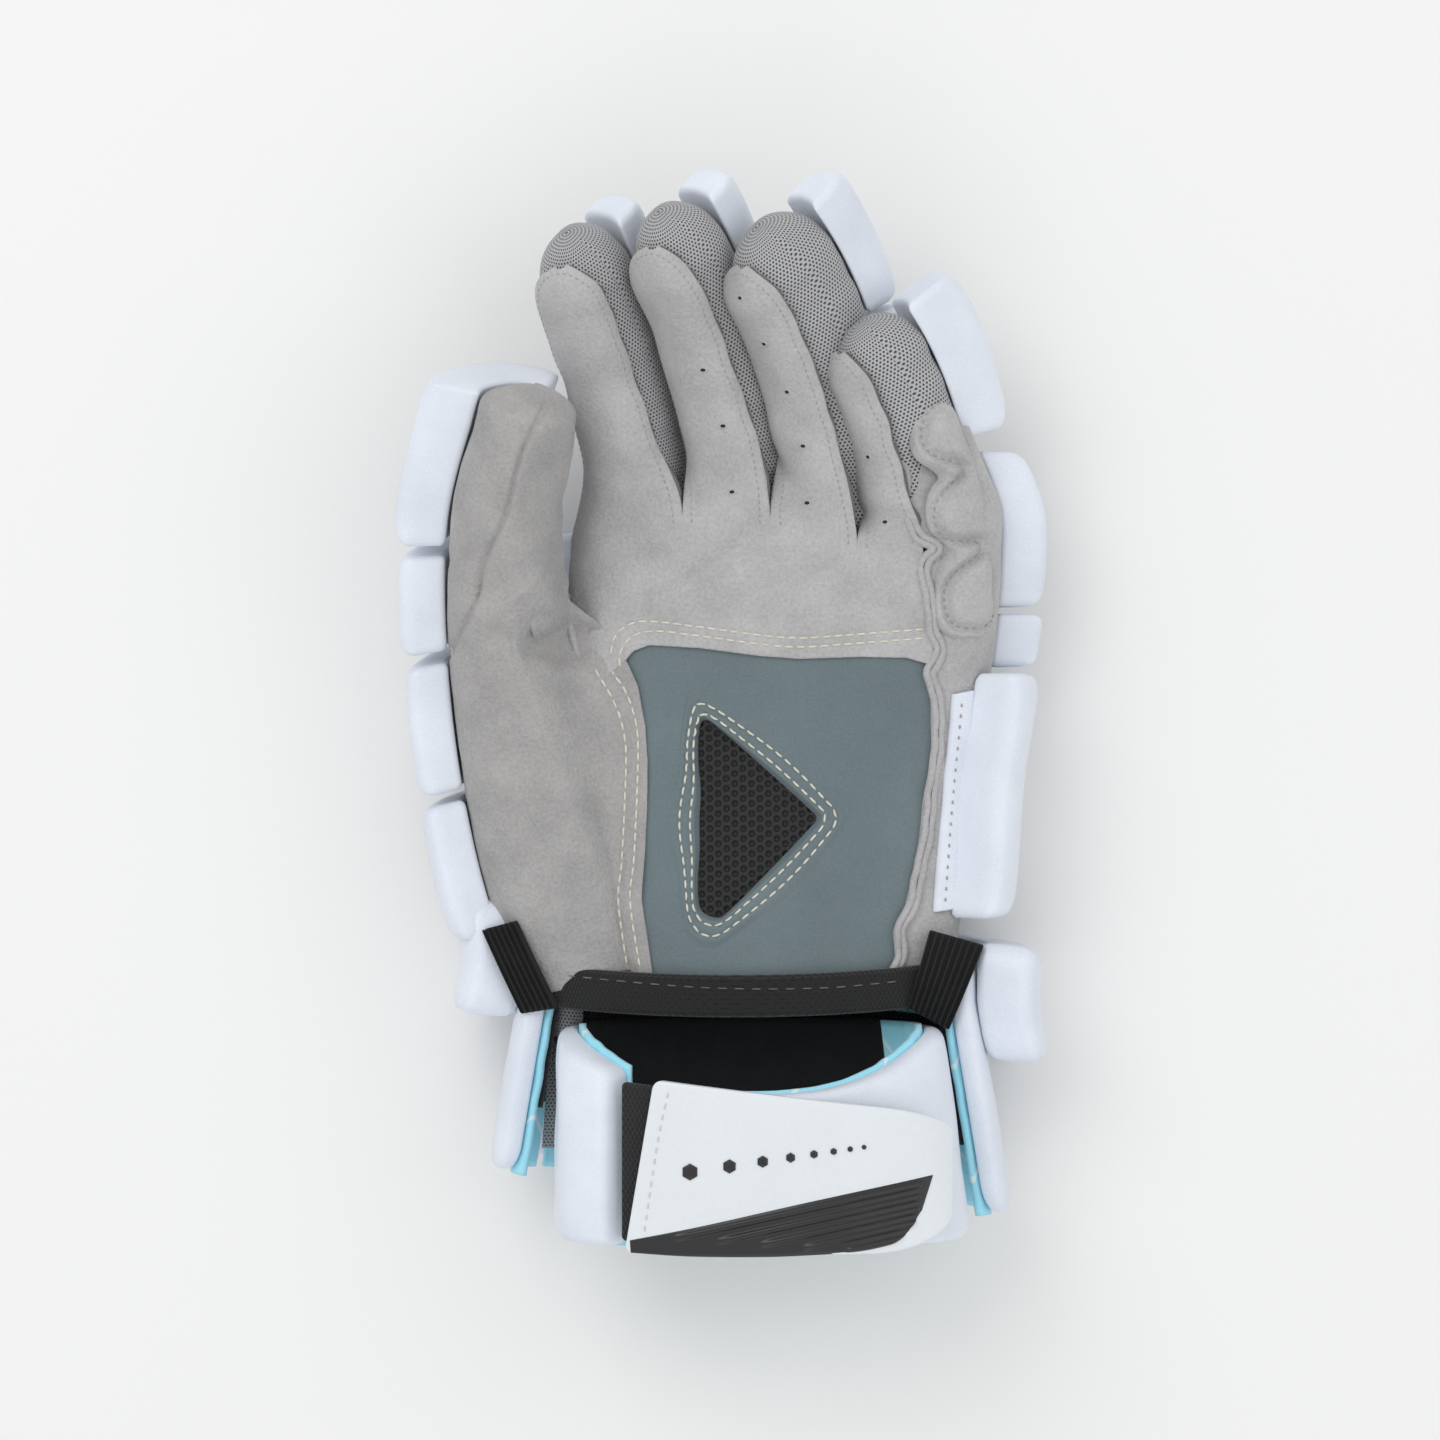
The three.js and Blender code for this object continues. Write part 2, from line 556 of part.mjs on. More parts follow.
for (const { part, from, to, back } of THUMB_PADS) {
  const pad = padOn(openThumb, from, to, THUMB_PAD_FROM, back, THUMB_PAD, handClear, thumbClear, belowPads);
  add("thumb_pad_" + part, pad, "pad");
}

// Rows of pads over the back of the hand, each split into pads side by side.
const BACK_ROWS = {
  low: { from: 0.17, to: 0.415, angles: [-145, -90, -42] },
  middle: { from: 0.43, to: 0.64, angles: [-145, -112, -76, -42] },
  upper: { from: 0.655, to: 0.765, angles: [-160, -112, -76, -36, -6] },
  knuckle: { from: 0.78, to: 0.94, angles: [-160, -122, -85, -46] },
};
for (const [row, { from, to, angles }] of Object.entries(BACK_ROWS))
  angles.slice(1).forEach((angle, i) => {
    const pad = padOn(hand, from, to, angles[i] + PAD_SEAM, angle - PAD_SEAM, BACK_PAD);
    add(`back_pad_${row}_${i + 1}`, pad, "pad");
  });
// The pad beside the little knuckle and the long roll down the side of the hand.
const LITTLE_KNUCKLE = { from: 0.78, to: 1.08, angles: [-44, -9] };
const ROLL_SPAN = { from: 0.145, to: 0.64, angles: [-40, 24] };
const padBy = ({ from, to, angles }, height, ...near) => padOn(hand, from, to, ...angles, height, ...near);
add("knuckle_pad_little", padBy(LITTLE_KNUCKLE, BACK_PAD, handClear, littleClear), "pad");
add("side_roll", padBy(ROLL_SPAN, SIDE_ROLL, handClear), "pad");

// The black underlay of the cuff, from the hand's lower edge, flaring below it.
const tilt = rad(CUFF_TILT);
function cuff(y) {
  const flare = (CUFF_FLARE * Math.max(0, -y)) / (FLAP_HEIGHT - FLAP_TOP);
  return {
    centre: V(CUFF_SHIFT, y, HAND_HEIGHT + 1),
    side: V(Math.cos(tilt), -Math.sin(tilt), 0),
    front: V(0, 0, 1),
    half: CUFF_WIDTH / 2 + flare,
    deep: CUFF_DEPTH / 2 + flare / 2,
    square: CUFF_SQUARENESS,
  };
}
const CUFF_FROM = 160;
const CUFF_TO = 380;
const between = (a, b, share) => a + (b - a) * share;
const CUFF_STEPS = [0, 0.2, 0.8, 1];
function cuffPiece(low, high, from, to, inner, outer, count, ...neighbours) {
  const at = (u, v, out) => pressed(tubePoint(cuff, between(low, high, u), rad(between(from, to, v)), out));
  const piece = patch(CUFF_STEPS, shares(count), (u, v) => at(u, v, inner), (u, v) => at(u, v, outer(u, v)));
  return clearOf(piece, neighbours);
}
const underlayArc = [UNDERLAY_LOW, UNDERLAY_TOP, CUFF_FROM, CUFF_TO];
add("cuff_underlay", cuffPiece(...underlayArc, -UNDERLAY, () => 0, 18, handClear, thumbClear), "knit");
const FLAP_OUT = 4 * GAP + LINING + FLAP_THICKNESS;
const rollTop = (u, v) => FLAP_OUT + ROLL_THICKNESS * padHeight(u, v);
const ROLL_ANGLES = [164, 376];
const rollHigh = ROLL_LOW + ROLL_HEIGHT;
const roll = cuffPiece(ROLL_LOW, rollHigh, ...ROLL_ANGLES, FLAP_OUT, rollTop, 18, handClear, thumbClear);
add("wrist_roll", roll, "pad");
const FLAPS = { left: [158, 206], back: [214, 326], right: [334, 382] };
for (const [name, [from, to]] of Object.entries(FLAPS)) {
  const low = FLAP_TOP - FLAP_HEIGHT;
  const steps = name === "back" ? 9 : 4;
  const lined = 2 * GAP + LINING;
  const outside = (u, v) => lined + FLAP_THICKNESS * padHeight(u, v);
  const clear = [handClear, thumbClear];
  const lining = cuffPiece(low, FLAP_TOP, from, to, 2 * GAP, () => lined, steps, ...clear);
  const flap = cuffPiece(low, FLAP_TOP, from, to, lined + GAP, outside, steps, ...clear);
  add("flap_lining_" + name, lining, "lining");
  add("cuff_flap_" + name, flap, "pad");
}

// The wristband.
const bandFlare = (y) => (BAND_FLARE * (BAND_TOP - y)) / (BAND_TOP - BAND_LOW);
function band(y) {
  const flare = bandFlare(y);
  return {
    centre: V(BAND_SHIFT + flare * BAND_DRIFT, y, BAND_HEIGHT),
    side: V(1, 0, 0),
    front: V(0, 0, 1),
    half: BAND_WIDTH / 2 + flare,
    deep: BAND_DEPTH / 2,
    square: BAND_SQUARENESS,
  };
}
const bandTop = (angle) => BAND_TOP - BAND_DIP * Math.max(0, Math.sin(angle)) ** 2;
function angleAt(x, y) {
  const section = band(y);
  return Math.acos(power((x - section.centre.x) / section.half, section.square / 2));
}
const BAND_FROM = angleAt(BAND_LEFT_END, BAND_LOW);
const BAND_TO = angleAt(BAND_RIGHT_END, BAND_LOW) + 2 * Math.PI;
function bandPiece(inner, outer) {
  const at = (u, v, out) => {
    const angle = between(BAND_FROM, BAND_TO, v);
    return tubePoint(band, between(BAND_LOW, bandTop(angle), u), angle, out);
  };
  return patch(CUFF_STEPS, shares(22), (u, v) => at(u, v, inner(u, v)), (u, v) => at(u, v, outer(u, v)));
}
// The padding swells over the first stretch beside the band's right end.
const BAND_END = 0.06;
const bandEnd = (v) => BAND_END_PADDING * Math.min(1, Math.max(0, 2 - v / BAND_END));
const bandOut = (u, v) => (padHeight(u, 0.5) - 1) * BAND_PADDING + bandEnd(v);
add("band", bandPiece(() => -BAND_PADDING, bandOut), "pad");
const liningOut = -BAND_PADDING - GAP;
add("band_lining", bandPiece(() => liningOut - LINING, () => liningOut), "lining");
// A strap lies round the band's front, with its right corners rounded.
const STRAP_STEPS = [0, 0.03, 0.1, 0.25, 0.4, 0.6, 0.8, 1];
const STRAP_CORNER = 0.25;
function strapPiece({ low, high, left, right, inner, thickness, corner }) {
  const at = (u, v, out) => {
    const edge = Math.max(0, 1 - v / STRAP_CORNER);
    const short = corner * (1 - Math.sqrt(1 - edge ** 2 * 0.99));
    const y = between(low + short, high(v) - short / 2, u);
    return tubePoint(band, y, angleAt(between(right, left(u), v), y), out);
  };
  const over = (u, v) => at(u, v, inner + thickness);
  return patch(shares(2), STRAP_STEPS, (u, v) => at(u, v, inner), over);
}
const plateTop = (v) => BAND_LOW - 1 + PLATE_HEIGHT - PLATE_SLOPE * (1 - v);
const strapElastic = {
  low: BAND_LOW + 2,
  high: (v) => plateTop(v) - 1,
  left: () => STRAP_LEFT,
  right: PLATE_RIGHT - 4,
  inner: GAP,
  thickness: ELASTIC,
  corner: 8,
};
const strapPlate = {
  low: BAND_LOW - 1,
  high: plateTop,
  left: (u) => PLATE_LEFT + PLATE_SKEW * u,
  right: PLATE_RIGHT,
  inner: 3 * GAP + ELASTIC,
  thickness: PLATE,
  corner: 12,
};
add("strap_elastic", strapPiece(strapElastic), "knit");
add("strap_plate", strapPiece(strapPlate), "pad");

// The black edging along the palm's lower edge and the elastic straps from it to the roll.
const HEM_ANGLES = [28, 150];
const hemAt = (u, v, out) => {
  const angle = rad(between(...HEM_ANGLES, v));
  const point = tubePoint(hand, 0, angle, out);
  point.y = hemLine(point.x) - GAP - HEM_HEIGHT * (1 - u);
  return point;
};
const hem = patch(shares(2), shares(12), (u, v) => hemAt(u, v, 1 - HEM), (u, v) => hemAt(u, v, 1));
add("palm_hem", hem, "knit");

// Elastic straps from the ends of the edging up to the roll, by their four corners.
const ELASTICS = {
  left: [[-66, -9, 47], [-54, -7, 50], [-78, 17, 49], [-67, 20, 51]],
  right: [[53, -7, 50], [66, -14, 46], [60, 17, 49], [77, 12, 44]],
};
const rollSolid = solidOf(roll);
for (const [name, corners] of Object.entries(ELASTICS)) {
  const [a, b, c, d] = corners.map((corner) => V(...corner));
  const at = (u, v, out) => {
    const point = a.clone().lerp(b, v).lerp(c.clone().lerp(d, v), u);
    point.z += out + ELASTIC_BULGE * Math.sin(Math.PI * u);
    return point;
  };
  const elastic = patch(shares(4), shares(2), (u, v) => at(u, 1 - v, 0), (u, v) => at(u, 1 - v, ELASTIC));
  add("elastic_" + name, clearOf(elastic, [handClear, thumbClear, solidOf(hem), rollSolid]), "knit");
}

// The quilted suede pad over the little finger's root and the side of the hand.
const SIDE_STEPS = shares(6);
const SIDE_ON_HAND = { along: [0.69, 1.02], angles: [3, 50] };
const SIDE_ON_FINGER = { along: [-0.5, 0.54], angles: [-50, 12] };
const SIDE_BLEND = [0.35, 0.75];
const sidePadAt = (u, v, out) => {
  const angleOf = ({ angles }) => rad(between(...angles, v));
  const on = (tube, patchOn) => tubePoint(tube, between(...patchOn.along, u), angleOf(patchOn), out);
  const onFinger = on(fingerTube(little, false), SIDE_ON_FINGER);
  return on(hand, SIDE_ON_HAND).lerp(onFinger, THREE.MathUtils.smoothstep(u, ...SIDE_BLEND));
};
const sideHeight = (u, v) => GAP + SIDE_PAD * padHeight(u, v);
const sideUnder = (u, v) => sidePadAt(u, v, GAP);
const sidePad = patch(SIDE_STEPS, PAD_STEPS, sideUnder, (u, v) => sidePadAt(u, v, sideHeight(u, v)));
add("side_pad", clearOf(sidePad, [handClear, littleClear]), "suede");

// The origin is at the middle of the foot of the whole glove.
const box = new THREE.Box3().setFromObject(glove);
const middle = box.getCenter(V(0, 0, 0));
glove.position.set(-middle.x, -middle.y, -box.min.z);
export default glove;
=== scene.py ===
"""A left-hand lacrosse glove lying on its padded back, palm up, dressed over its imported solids."""

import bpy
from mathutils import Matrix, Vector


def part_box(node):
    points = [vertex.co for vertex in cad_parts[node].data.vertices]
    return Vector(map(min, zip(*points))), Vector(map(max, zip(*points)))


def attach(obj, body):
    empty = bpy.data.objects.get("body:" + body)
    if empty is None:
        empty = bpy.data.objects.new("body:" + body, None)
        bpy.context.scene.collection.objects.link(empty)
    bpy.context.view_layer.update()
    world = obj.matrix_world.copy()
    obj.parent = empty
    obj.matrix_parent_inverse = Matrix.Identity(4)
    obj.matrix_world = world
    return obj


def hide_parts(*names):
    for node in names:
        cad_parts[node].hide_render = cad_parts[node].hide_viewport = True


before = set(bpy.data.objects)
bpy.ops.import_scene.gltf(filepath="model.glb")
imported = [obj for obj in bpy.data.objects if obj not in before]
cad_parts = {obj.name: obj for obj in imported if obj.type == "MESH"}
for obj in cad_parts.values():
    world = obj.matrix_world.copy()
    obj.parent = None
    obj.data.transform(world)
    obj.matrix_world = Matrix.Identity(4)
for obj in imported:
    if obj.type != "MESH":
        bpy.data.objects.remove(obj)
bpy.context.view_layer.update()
import math

import bpy
import numpy as np
from mathutils import Vector

# The view. The glove lies on a pale table top under soft studio light, and the camera looks
# straight down on the palm from well above it. Lengths here are the glove's own millimetres,
# from the middle of the palm's lower edge, and place() turns them into the frame's metres.
VENT_CORNER = np.array([-11.445, 20.55])
SHIFT = np.append(np.array(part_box("vent_mesh")[0])[:2] * 1000 - VENT_CORNER, 0.0)
PHOTO = 1440
MM_PER_PIXEL = 0.308
PALM_PLANE = 50.0
CAMERA_UP = 1232.0
CAMERA_AT = np.array([-4.62, 81.62, PALM_PLANE + CAMERA_UP])
SENSOR = 36.0


def place(points):
    """The glove's millimetres as metres in the frame."""
    return (np.asarray(points, float) + SHIFT) / 1000


def shader(tree, kind, sockets=None, **settings):
    """A node with its settings, each socket given a value or linked to another node's output."""
    made = tree.nodes.new(kind)
    for key, value in settings.items():
        setattr(made, key, value)
    for key, value in (sockets or {}).items():
        if isinstance(value, bpy.types.NodeSocket):
            tree.links.new(value, made.inputs[key])
        else:
            made.inputs[key].default_value = value
    return made


def material(name, roughness, sheen=0.0, coat=0.0):
    """A material's tree and its Principled shader, with the constants set on the shader."""
    made = bpy.data.materials.new(name)
    made.use_nodes = True
    principled = made.node_tree.nodes["Principled BSDF"]
    principled.inputs["Roughness"].default_value = roughness
    principled.inputs["Sheen Weight"].default_value = sheen
    principled.inputs["Coat Weight"].default_value = coat
    return made, made.node_tree, principled


def tone(colour):
    """An sRGB colour, 0 to 255, as a linear one: the sRGB curve's power part."""
    linear = [((v / 255 + 0.055) / 1.055) ** 2.4 if v > 10 else v / 3294 for v in colour]
    return (*linear, 1.0)


def plain(name, colour, roughness, sheen=0.0):
    """A material of one tone, where the shape alone gives the look."""
    made, tree, principled = material(name, roughness, sheen)
    principled.inputs["Base Color"].default_value = tone(colour)
    return made


def in_scene(name, data):
    """An object with that data, linked to the scene."""
    made = bpy.data.objects.new(name, data)
    bpy.context.scene.collection.objects.link(made)
    return made


camera = in_scene("camera", bpy.data.cameras.new("camera"))
camera.data.sensor_width = SENSOR
camera.data.lens = SENSOR * CAMERA_UP / (PHOTO * MM_PER_PIXEL)
camera.data.clip_end = 20
camera.location = place(CAMERA_AT)
bpy.context.scene.camera = camera

FLOOR_HALF = 3.0
TABLE_TONE = (240, 240, 238)
floor_mesh = bpy.data.meshes.new("floor")
corners = [(-1, -1), (1, -1), (1, 1), (-1, 1)]
floor_mesh.from_pydata([(x * FLOOR_HALF, y * FLOOR_HALF, 0) for x, y in corners], [], [(0, 1, 2, 3)])
floor_mesh.materials.append(plain("table_top", TABLE_TONE, 0.9))
floor = in_scene("floor", floor_mesh)

LIGHTS = {
    "key": {"at": (-0.7, 0.9, 1.5), "size": 1.1, "watts": 9},
    "fill": {"at": (1.0, 0.1, 1.2), "size": 1.4, "watts": 3},
    "foot": {"at": (-0.2, -1.2, 1.1), "size": 1.2, "watts": 2.5},
}
for light_name, light in LIGHTS.items():
    lamp = bpy.data.lights.new(light_name, "AREA")
    lamp.size = light["size"]
    lamp.energy = light["watts"]
    lamp_object = in_scene(light_name, lamp)
    lamp_object.location = light["at"]
    lamp_object.rotation_euler = (-Vector(light["at"])).to_track_quat("-Z", "Y").to_euler()
SKY_COLOUR = (0.97, 0.98, 1.0, 1)
SKY_STRENGTH = 0.74
sky = bpy.data.worlds.new("studio")
sky.use_nodes = True
sky_light = sky.node_tree.nodes["Background"].inputs
sky_light["Color"].default_value = SKY_COLOUR
sky_light["Strength"].default_value = SKY_STRENGTH
bpy.context.scene.world = sky
bpy.context.scene.view_settings.view_transform = "Standard"

# The hand of the glove: one hollow body that the palm and the back are sewn to. Its sections
# are rounded rectangles that widen towards the knuckles and tip up towards the little finger.
PALM_LENGTH = 150.0
PALM_WIDTH = 135.0
HAND_DEPTH = 36.0
HAND_HEIGHT = 32.0
CROTCH = 0.955
HAND_ROWS = {
    "along": (-0.2, 0.13, 0.4, 0.67, 0.87, 1.0, 1.3),
    "left": (-0.42, -0.46, -0.46, -0.4, -0.37, -0.365, -0.33),
    "right": (0.45, 0.52, 0.54, 0.59, 0.61, 0.6, 0.46),
    "deep": (0.94, 1, 1, 1, 0.96, 0.92, 0.86),
    "rise": (0, 0, 0, 0.03, 0.08, 0.11, 0.12),
    "tip": (0, 0, 1, 4, 7, 8, 8),
}
HAND_SQUARENESS = 3.2


def column(rows, key, name, at):
    """A cubic Hermite curve through a table's column, with slopes from each row's neighbours."""
    x = np.array(rows[key], float)
    y = np.array(rows[name], float)
    n = len(x)
    before = np.maximum(np.arange(n) - 1, 0)
    after = np.minimum(np.arange(n) + 1, n - 1)
    slope = (y[after] - y[before]) / (x[after] - x[before])
    at = np.asarray(at, float)
    i = np.clip(np.searchsorted(x, at, side="right") - 1, 0, n - 2)
    span = x[i + 1] - x[i]
    t = (at - x[i]) / span
    rise = 3 * t**2 - 2 * t**3
    bend = slope[i] * (t**3 - 2 * t**2 + t) + slope[i + 1] * (t**3 - t**2)
    return y[i] * (1 - rise) + y[i + 1] * rise + span * bend


def unit(vectors):
    """Vectors at length one."""
    return vectors / np.maximum(np.linalg.norm(vectors, axis=-1, keepdims=True), 1e-9)


def power(value, exponent):
    """A power that keeps the sign."""
    return np.sign(value) * np.abs(value) ** exponent


def vec(x, y, z):
    """Three arrays or numbers as one array of points."""
    return np.stack(np.broadcast_arrays(np.asarray(x, float), y, z), -1)


def tube_point(tube, at, angle, out=0.0):
    """A point on a tube: centre + side * cos^e * half + front * sin^e * deep, a superellipse."""
    s = tube(np.asarray(at, float))
    angle = np.asarray(angle, float)
    e = 2 / s["square"]
    across = power(np.cos(angle), e) * np.maximum(s["half"] + out, 0.1)
    ahead = power(np.sin(angle), e) * np.maximum(s["deep"] + out, 0.1)
    return s["centre"] + s["side"] * across[..., None] + s["front"] * ahead[..., None]


def hand(at):
    """The hand's section at a share of the palm's length."""
    left = column(HAND_ROWS, "along", "left", at) * PALM_WIDTH
    right = column(HAND_ROWS, "along", "right", at) * PALM_WIDTH
    tip = np.radians(column(HAND_ROWS, "along", "tip", at))
    middle = (left + right) / 2
    rise = column(HAND_ROWS, "along", "rise", at) * HAND_DEPTH
    return {
        "centre": vec(middle, at * PALM_LENGTH, HAND_HEIGHT + rise + middle * np.sin(tip)),
        "side": vec(np.cos(tip), 0, np.sin(tip)),
        "front": vec(-np.sin(tip), 0, np.cos(tip)),
        "half": (right - left) / 2,
        "deep": column(HAND_ROWS, "along", "deep", at) * HAND_DEPTH / 2,
        "square": HAND_SQUARENESS,
    }


def grid(*lines):
    """Two or more parameters over a grid."""
    return np.meshgrid(*lines, indexing="ij")


def spread(first, second):
    """Two parameters over a grid, each from a start to an end in a count of even steps."""
    return grid(np.linspace(*first), np.linspace(*second))


def cells(*counts):
    """Flat lists of the indices of a grid's cells."""
    return [index.ravel() for index in grid(*(np.arange(count) for count in counts))]


def mesh_object(name, points, faces, look, corners_uv=None):
    """An object with its place in its mesh, from points and quads, shaded smooth. corners_uv
    gives the corners of each quad their place on the cloth, in millimetres as the points are."""
    mesh = bpy.data.meshes.new(name)
    mesh.from_pydata(place(points), [], faces.tolist())
    if corners_uv is not None:
        layer = mesh.uv_layers.new(name="cloth")
        layer.data.foreach_set("uv", np.ascontiguousarray(corners_uv, np.float32).ravel() / 1000)
    mesh.polygons.foreach_set("use_smooth", np.ones(len(faces), bool))
    mesh.materials.append(look)
    return in_scene(name, mesh)


def walled(piece, thickness):
    """The modifier that gives a piece a wall of that thickness inwards."""
    wall = piece.modifiers.new("wall", "SOLIDIFY")
    wall.thickness = thickness / 1000
    wall.offset = -1
    return wall


def surface(name, points, look, core, wraps=False, thickness=0.0, inner=None):
    """A grid of points as a mesh that faces away from core, which has a point for each. It
    wraps round its second parameter if asked, and gets a wall of that thickness inwards."""
    rows, columns = points.shape[:2]
    steps = np.linalg.norm(np.diff(points, axis=0), axis=-1).mean(1)
    across = np.linalg.norm(np.diff(points, axis=1), axis=-1).mean(0)
    along = np.append(0, np.cumsum(steps))
    round_ = np.append(0, np.cumsum(across))
    if wraps:
        round_ = np.append(round_, round_[-1] + across.mean())
    uv = np.stack(grid(along, round_), -1)
    i, j = cells(rows - 1, columns if wraps else columns - 1)
    nearby = (j + 1) % columns
    low, high = i * columns, (i + 1) * columns
    faces = np.stack([low + j, high + j, high + nearby, low + nearby], -1)
    corners_uv = np.stack([uv[i, j], uv[i + 1, j], uv[i + 1, j + 1], uv[i, j + 1]], 1)
    flat = points.reshape(-1, 3)
    a, b, c, d = (flat[faces[:, k]] for k in range(4))
    away = (a + b + c + d) / 4 - core.reshape(-1, 3)[faces].mean(1)
    if (np.cross(c - a, d - b) * away).sum() < 0:
        faces = faces[:, ::-1]
        corners_uv = corners_uv[:, ::-1]
    piece = mesh_object(name, flat, faces, look, corners_uv)
    if thickness:
        wall = walled(piece, thickness)
        if inner is not None:
            piece.data.materials.append(inner)
            wall.material_offset = 1
    return piece


def sew_on(piece, slot, *nodes):
    """The piece rides on the glove's one body, and the solids it stands for are hidden."""
    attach(piece, "root")
    if nodes:
        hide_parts(*nodes)
    return piece


def shader_group(name, inputs, outputs):
    """An empty node group with named number inputs and outputs of the given kinds."""
    tree = bpy.data.node_groups.new(name, "ShaderNodeTree")
    for key, value in inputs.items():
        made = tree.interface.new_socket(key, in_out="INPUT", socket_type="NodeSocketFloat")
        made.default_value = value
    for key, kind in outputs.items():
        tree.interface.new_socket(key, in_out="OUTPUT", socket_type=kind)
    return tree, tree.nodes.new("NodeGroupInput").outputs, tree.nodes.new("NodeGroupOutput").inputs


def reckoned(tree, operation, first, second=0.0):
    """What a Math node makes of two numbers, each a value or a socket."""
    return shader(tree, "ShaderNodeMath", {0: first, 1: second}, operation=operation).outputs[0]


def noise(tree, at, scale, detail):
    """A Noise Texture node at a place and scale."""
    return shader(tree, "ShaderNodeTexNoise", {"Vector": at, "Scale": scale, "Detail": detail})


# Grain: blotches of tone over the piece, and a fine nap that catches the light.
grain, grain_in, grain_out = shader_group(
    "grain",
    {"Blotch scale": 60.0, "Nap scale": 1500.0, "Nap height": 0.3},
    {"Tone": "NodeSocketFloat", "Normal": "NodeSocketVector"},
)
place_in = shader(grain, "ShaderNodeTexCoord").outputs["Object"]
blotch = noise(grain, place_in, grain_in["Blotch scale"], 4.0).outputs["Fac"]
nap = noise(grain, place_in, grain_in["Nap scale"], 3.0).outputs["Fac"]
both = reckoned(grain, "ADD", blotch, nap)
evened = shader(grain, "ShaderNodeMapRange", {"Value": both, "From Min": 0.7, "From Max": 1.3})
nap_relief = {"Height": nap, "Strength": grain_in["Nap height"], "Distance": 0.0004}
nap_bump = shader(grain, "ShaderNodeBump", nap_relief)
grain.links.new(evened.outputs[0], grain_out["Tone"])
grain.links.new(nap_bump.outputs["Normal"], grain_out["Normal"])


def grouped(tree, group_tree, values):
    """A group's node in a tree, with numbers on its sockets."""
    made = tree.nodes.new("ShaderNodeGroup")
    made.node_tree = group_tree
    for key, value in values.items():
        made.inputs[key].default_value = value
    return made


def mixed(tree, factor, first, second):
    """The first colour where the factor is 0, the second where it is 1. Either may be a socket."""
    mix = tree.nodes.new("ShaderNodeMix")
    mix.data_type = "RGBA"
    for slot, value in ((0, factor), (6, first), (7, second)):
        if isinstance(value, bpy.types.NodeSocket):
            tree.links.new(value, mix.inputs[slot])
        else:
            mix.inputs[slot].default_value = value
    return mix.outputs[2]


def grained(name, low, high, roughness, blotch_scale, nap_scale, nap_height, sheen=0.0, coat=0.0):
    """A material between two tones by the grain's blotches, with its nap as relief."""
    made, tree, principled = material(name, roughness, sheen, coat)
    values = {"Blotch scale": blotch_scale, "Nap scale": nap_scale, "Nap height": nap_height}
    group = grouped(tree, grain, values)
    blend = mixed(tree, group.outputs["Tone"], tone(low), tone(high))
    tree.links.new(blend, principled.inputs["Base Color"])
    tree.links.new(group.outputs["Normal"], principled.inputs["Normal"])
    return made


suede = grained("grey_suede", (165, 163, 163), (188, 186, 186), 0.95, 75, 1000, 0.9, sheen=0.2)
black_lining = grained("black_lining", (14, 14, 15), (26, 26, 28), 0.95, 90, 1800, 0.4)

# The back of the hand and of the thumb, under the pads: one wall of suede with a black lining,
# which carries every other panel. Its front edge is where the palm's panels are sewn on.
BACK_ANGLES = (166, 374)
WRIST = -0.04
WALL = 2.0
THUMB_WIDTH = 36.0
THUMB_DEPTH = 34.0
THUMB_ROLL = -34.0
THUMB_DOME = 0.1
TUBE_SQUARENESS = 2.5
THUMB_BACK_ALONG = (0.06, 0.62)
THUMB_BACK_ANGLES = (150, 350)
THUMB_ROWS = {
    "at": [i / 6 for i in range(7)],
    "x": (-0.3, -0.38, -0.44, -0.5, -0.52, -0.475, -0.45),
    "y": (-0.12, 0.14, 0.4, 0.66, 0.92, 1.12, 1.21),
    "z": (0.9, 1, 1.06, 1.22, 1.6, 1.98, 2.16),
    "wide": (0.9, 1.32, 1.36, 1.12, 0.9, 0.76, 0.7),
    "deep": (0.8, 1.02, 1.1, 1.06, 0.98, 0.92, 0.86),
}


def thumb_place(at):
    """The middle of the thumb at a share of its length."""
    return vec(
        column(THUMB_ROWS, "at", "x", at) * PALM_WIDTH,
        column(THUMB_ROWS, "at", "y", at) * PALM_LENGTH,
        column(THUMB_ROWS, "at", "z", at) * HAND_DEPTH,
    )


def turned(vectors, axis, angle):
    """Rodrigues' formula for vectors turned about unit axes."""
    c, s = np.cos(angle)[..., None], np.sin(angle)[..., None]
    along = axis * (axis * vectors).sum(-1, keepdims=True)
    return vectors * c + np.cross(axis, vectors) * s + along * (1 - c)


def closing(at, length, exponent):
    """How a tube narrows over its last length: sqrt(1 - t^exponent), with t from 0 to 1 there."""
    return np.sqrt(np.maximum(0, 1 - (np.maximum(0, at - 1 + length) / length) ** exponent))


def thumb(at, closed=True):
    """The thumb's section, rolled towards the palm, closing in a dome over its last tenth."""
    along = unit(thumb_place(at + 0.01) - thumb_place(at - 0.01))
    roll = np.radians(THUMB_ROLL * np.clip((at - 0.2) / 0.5, 0, 1))
    side = turned(unit(np.cross(np.array([0.0, 0.0, -1.0]), along)), along, roll)
    end = closing(at, THUMB_DOME, 2.2) if closed else 1.0
    return {
        "centre": thumb_place(at),
        "side": side,
        "front": np.cross(side, along),
        "half": column(THUMB_ROWS, "at", "wide", at) * THUMB_WIDTH / 2 * end,
        "deep": column(THUMB_ROWS, "at", "deep", at) * THUMB_DEPTH / 2 * end,
        "square": TUBE_SQUARENESS,
    }


def back_wall(name, tube, along, angles, sunk):
    """A wall of suede a little under a tube's surface, with its black lining."""
    at, angle = spread(along, angles)
    points = tube_point(tube, at, np.radians(angle), -sunk)
    core = tube(at)["centre"]
    return surface(name, points, suede, core, thickness=WALL, inner=black_lining)


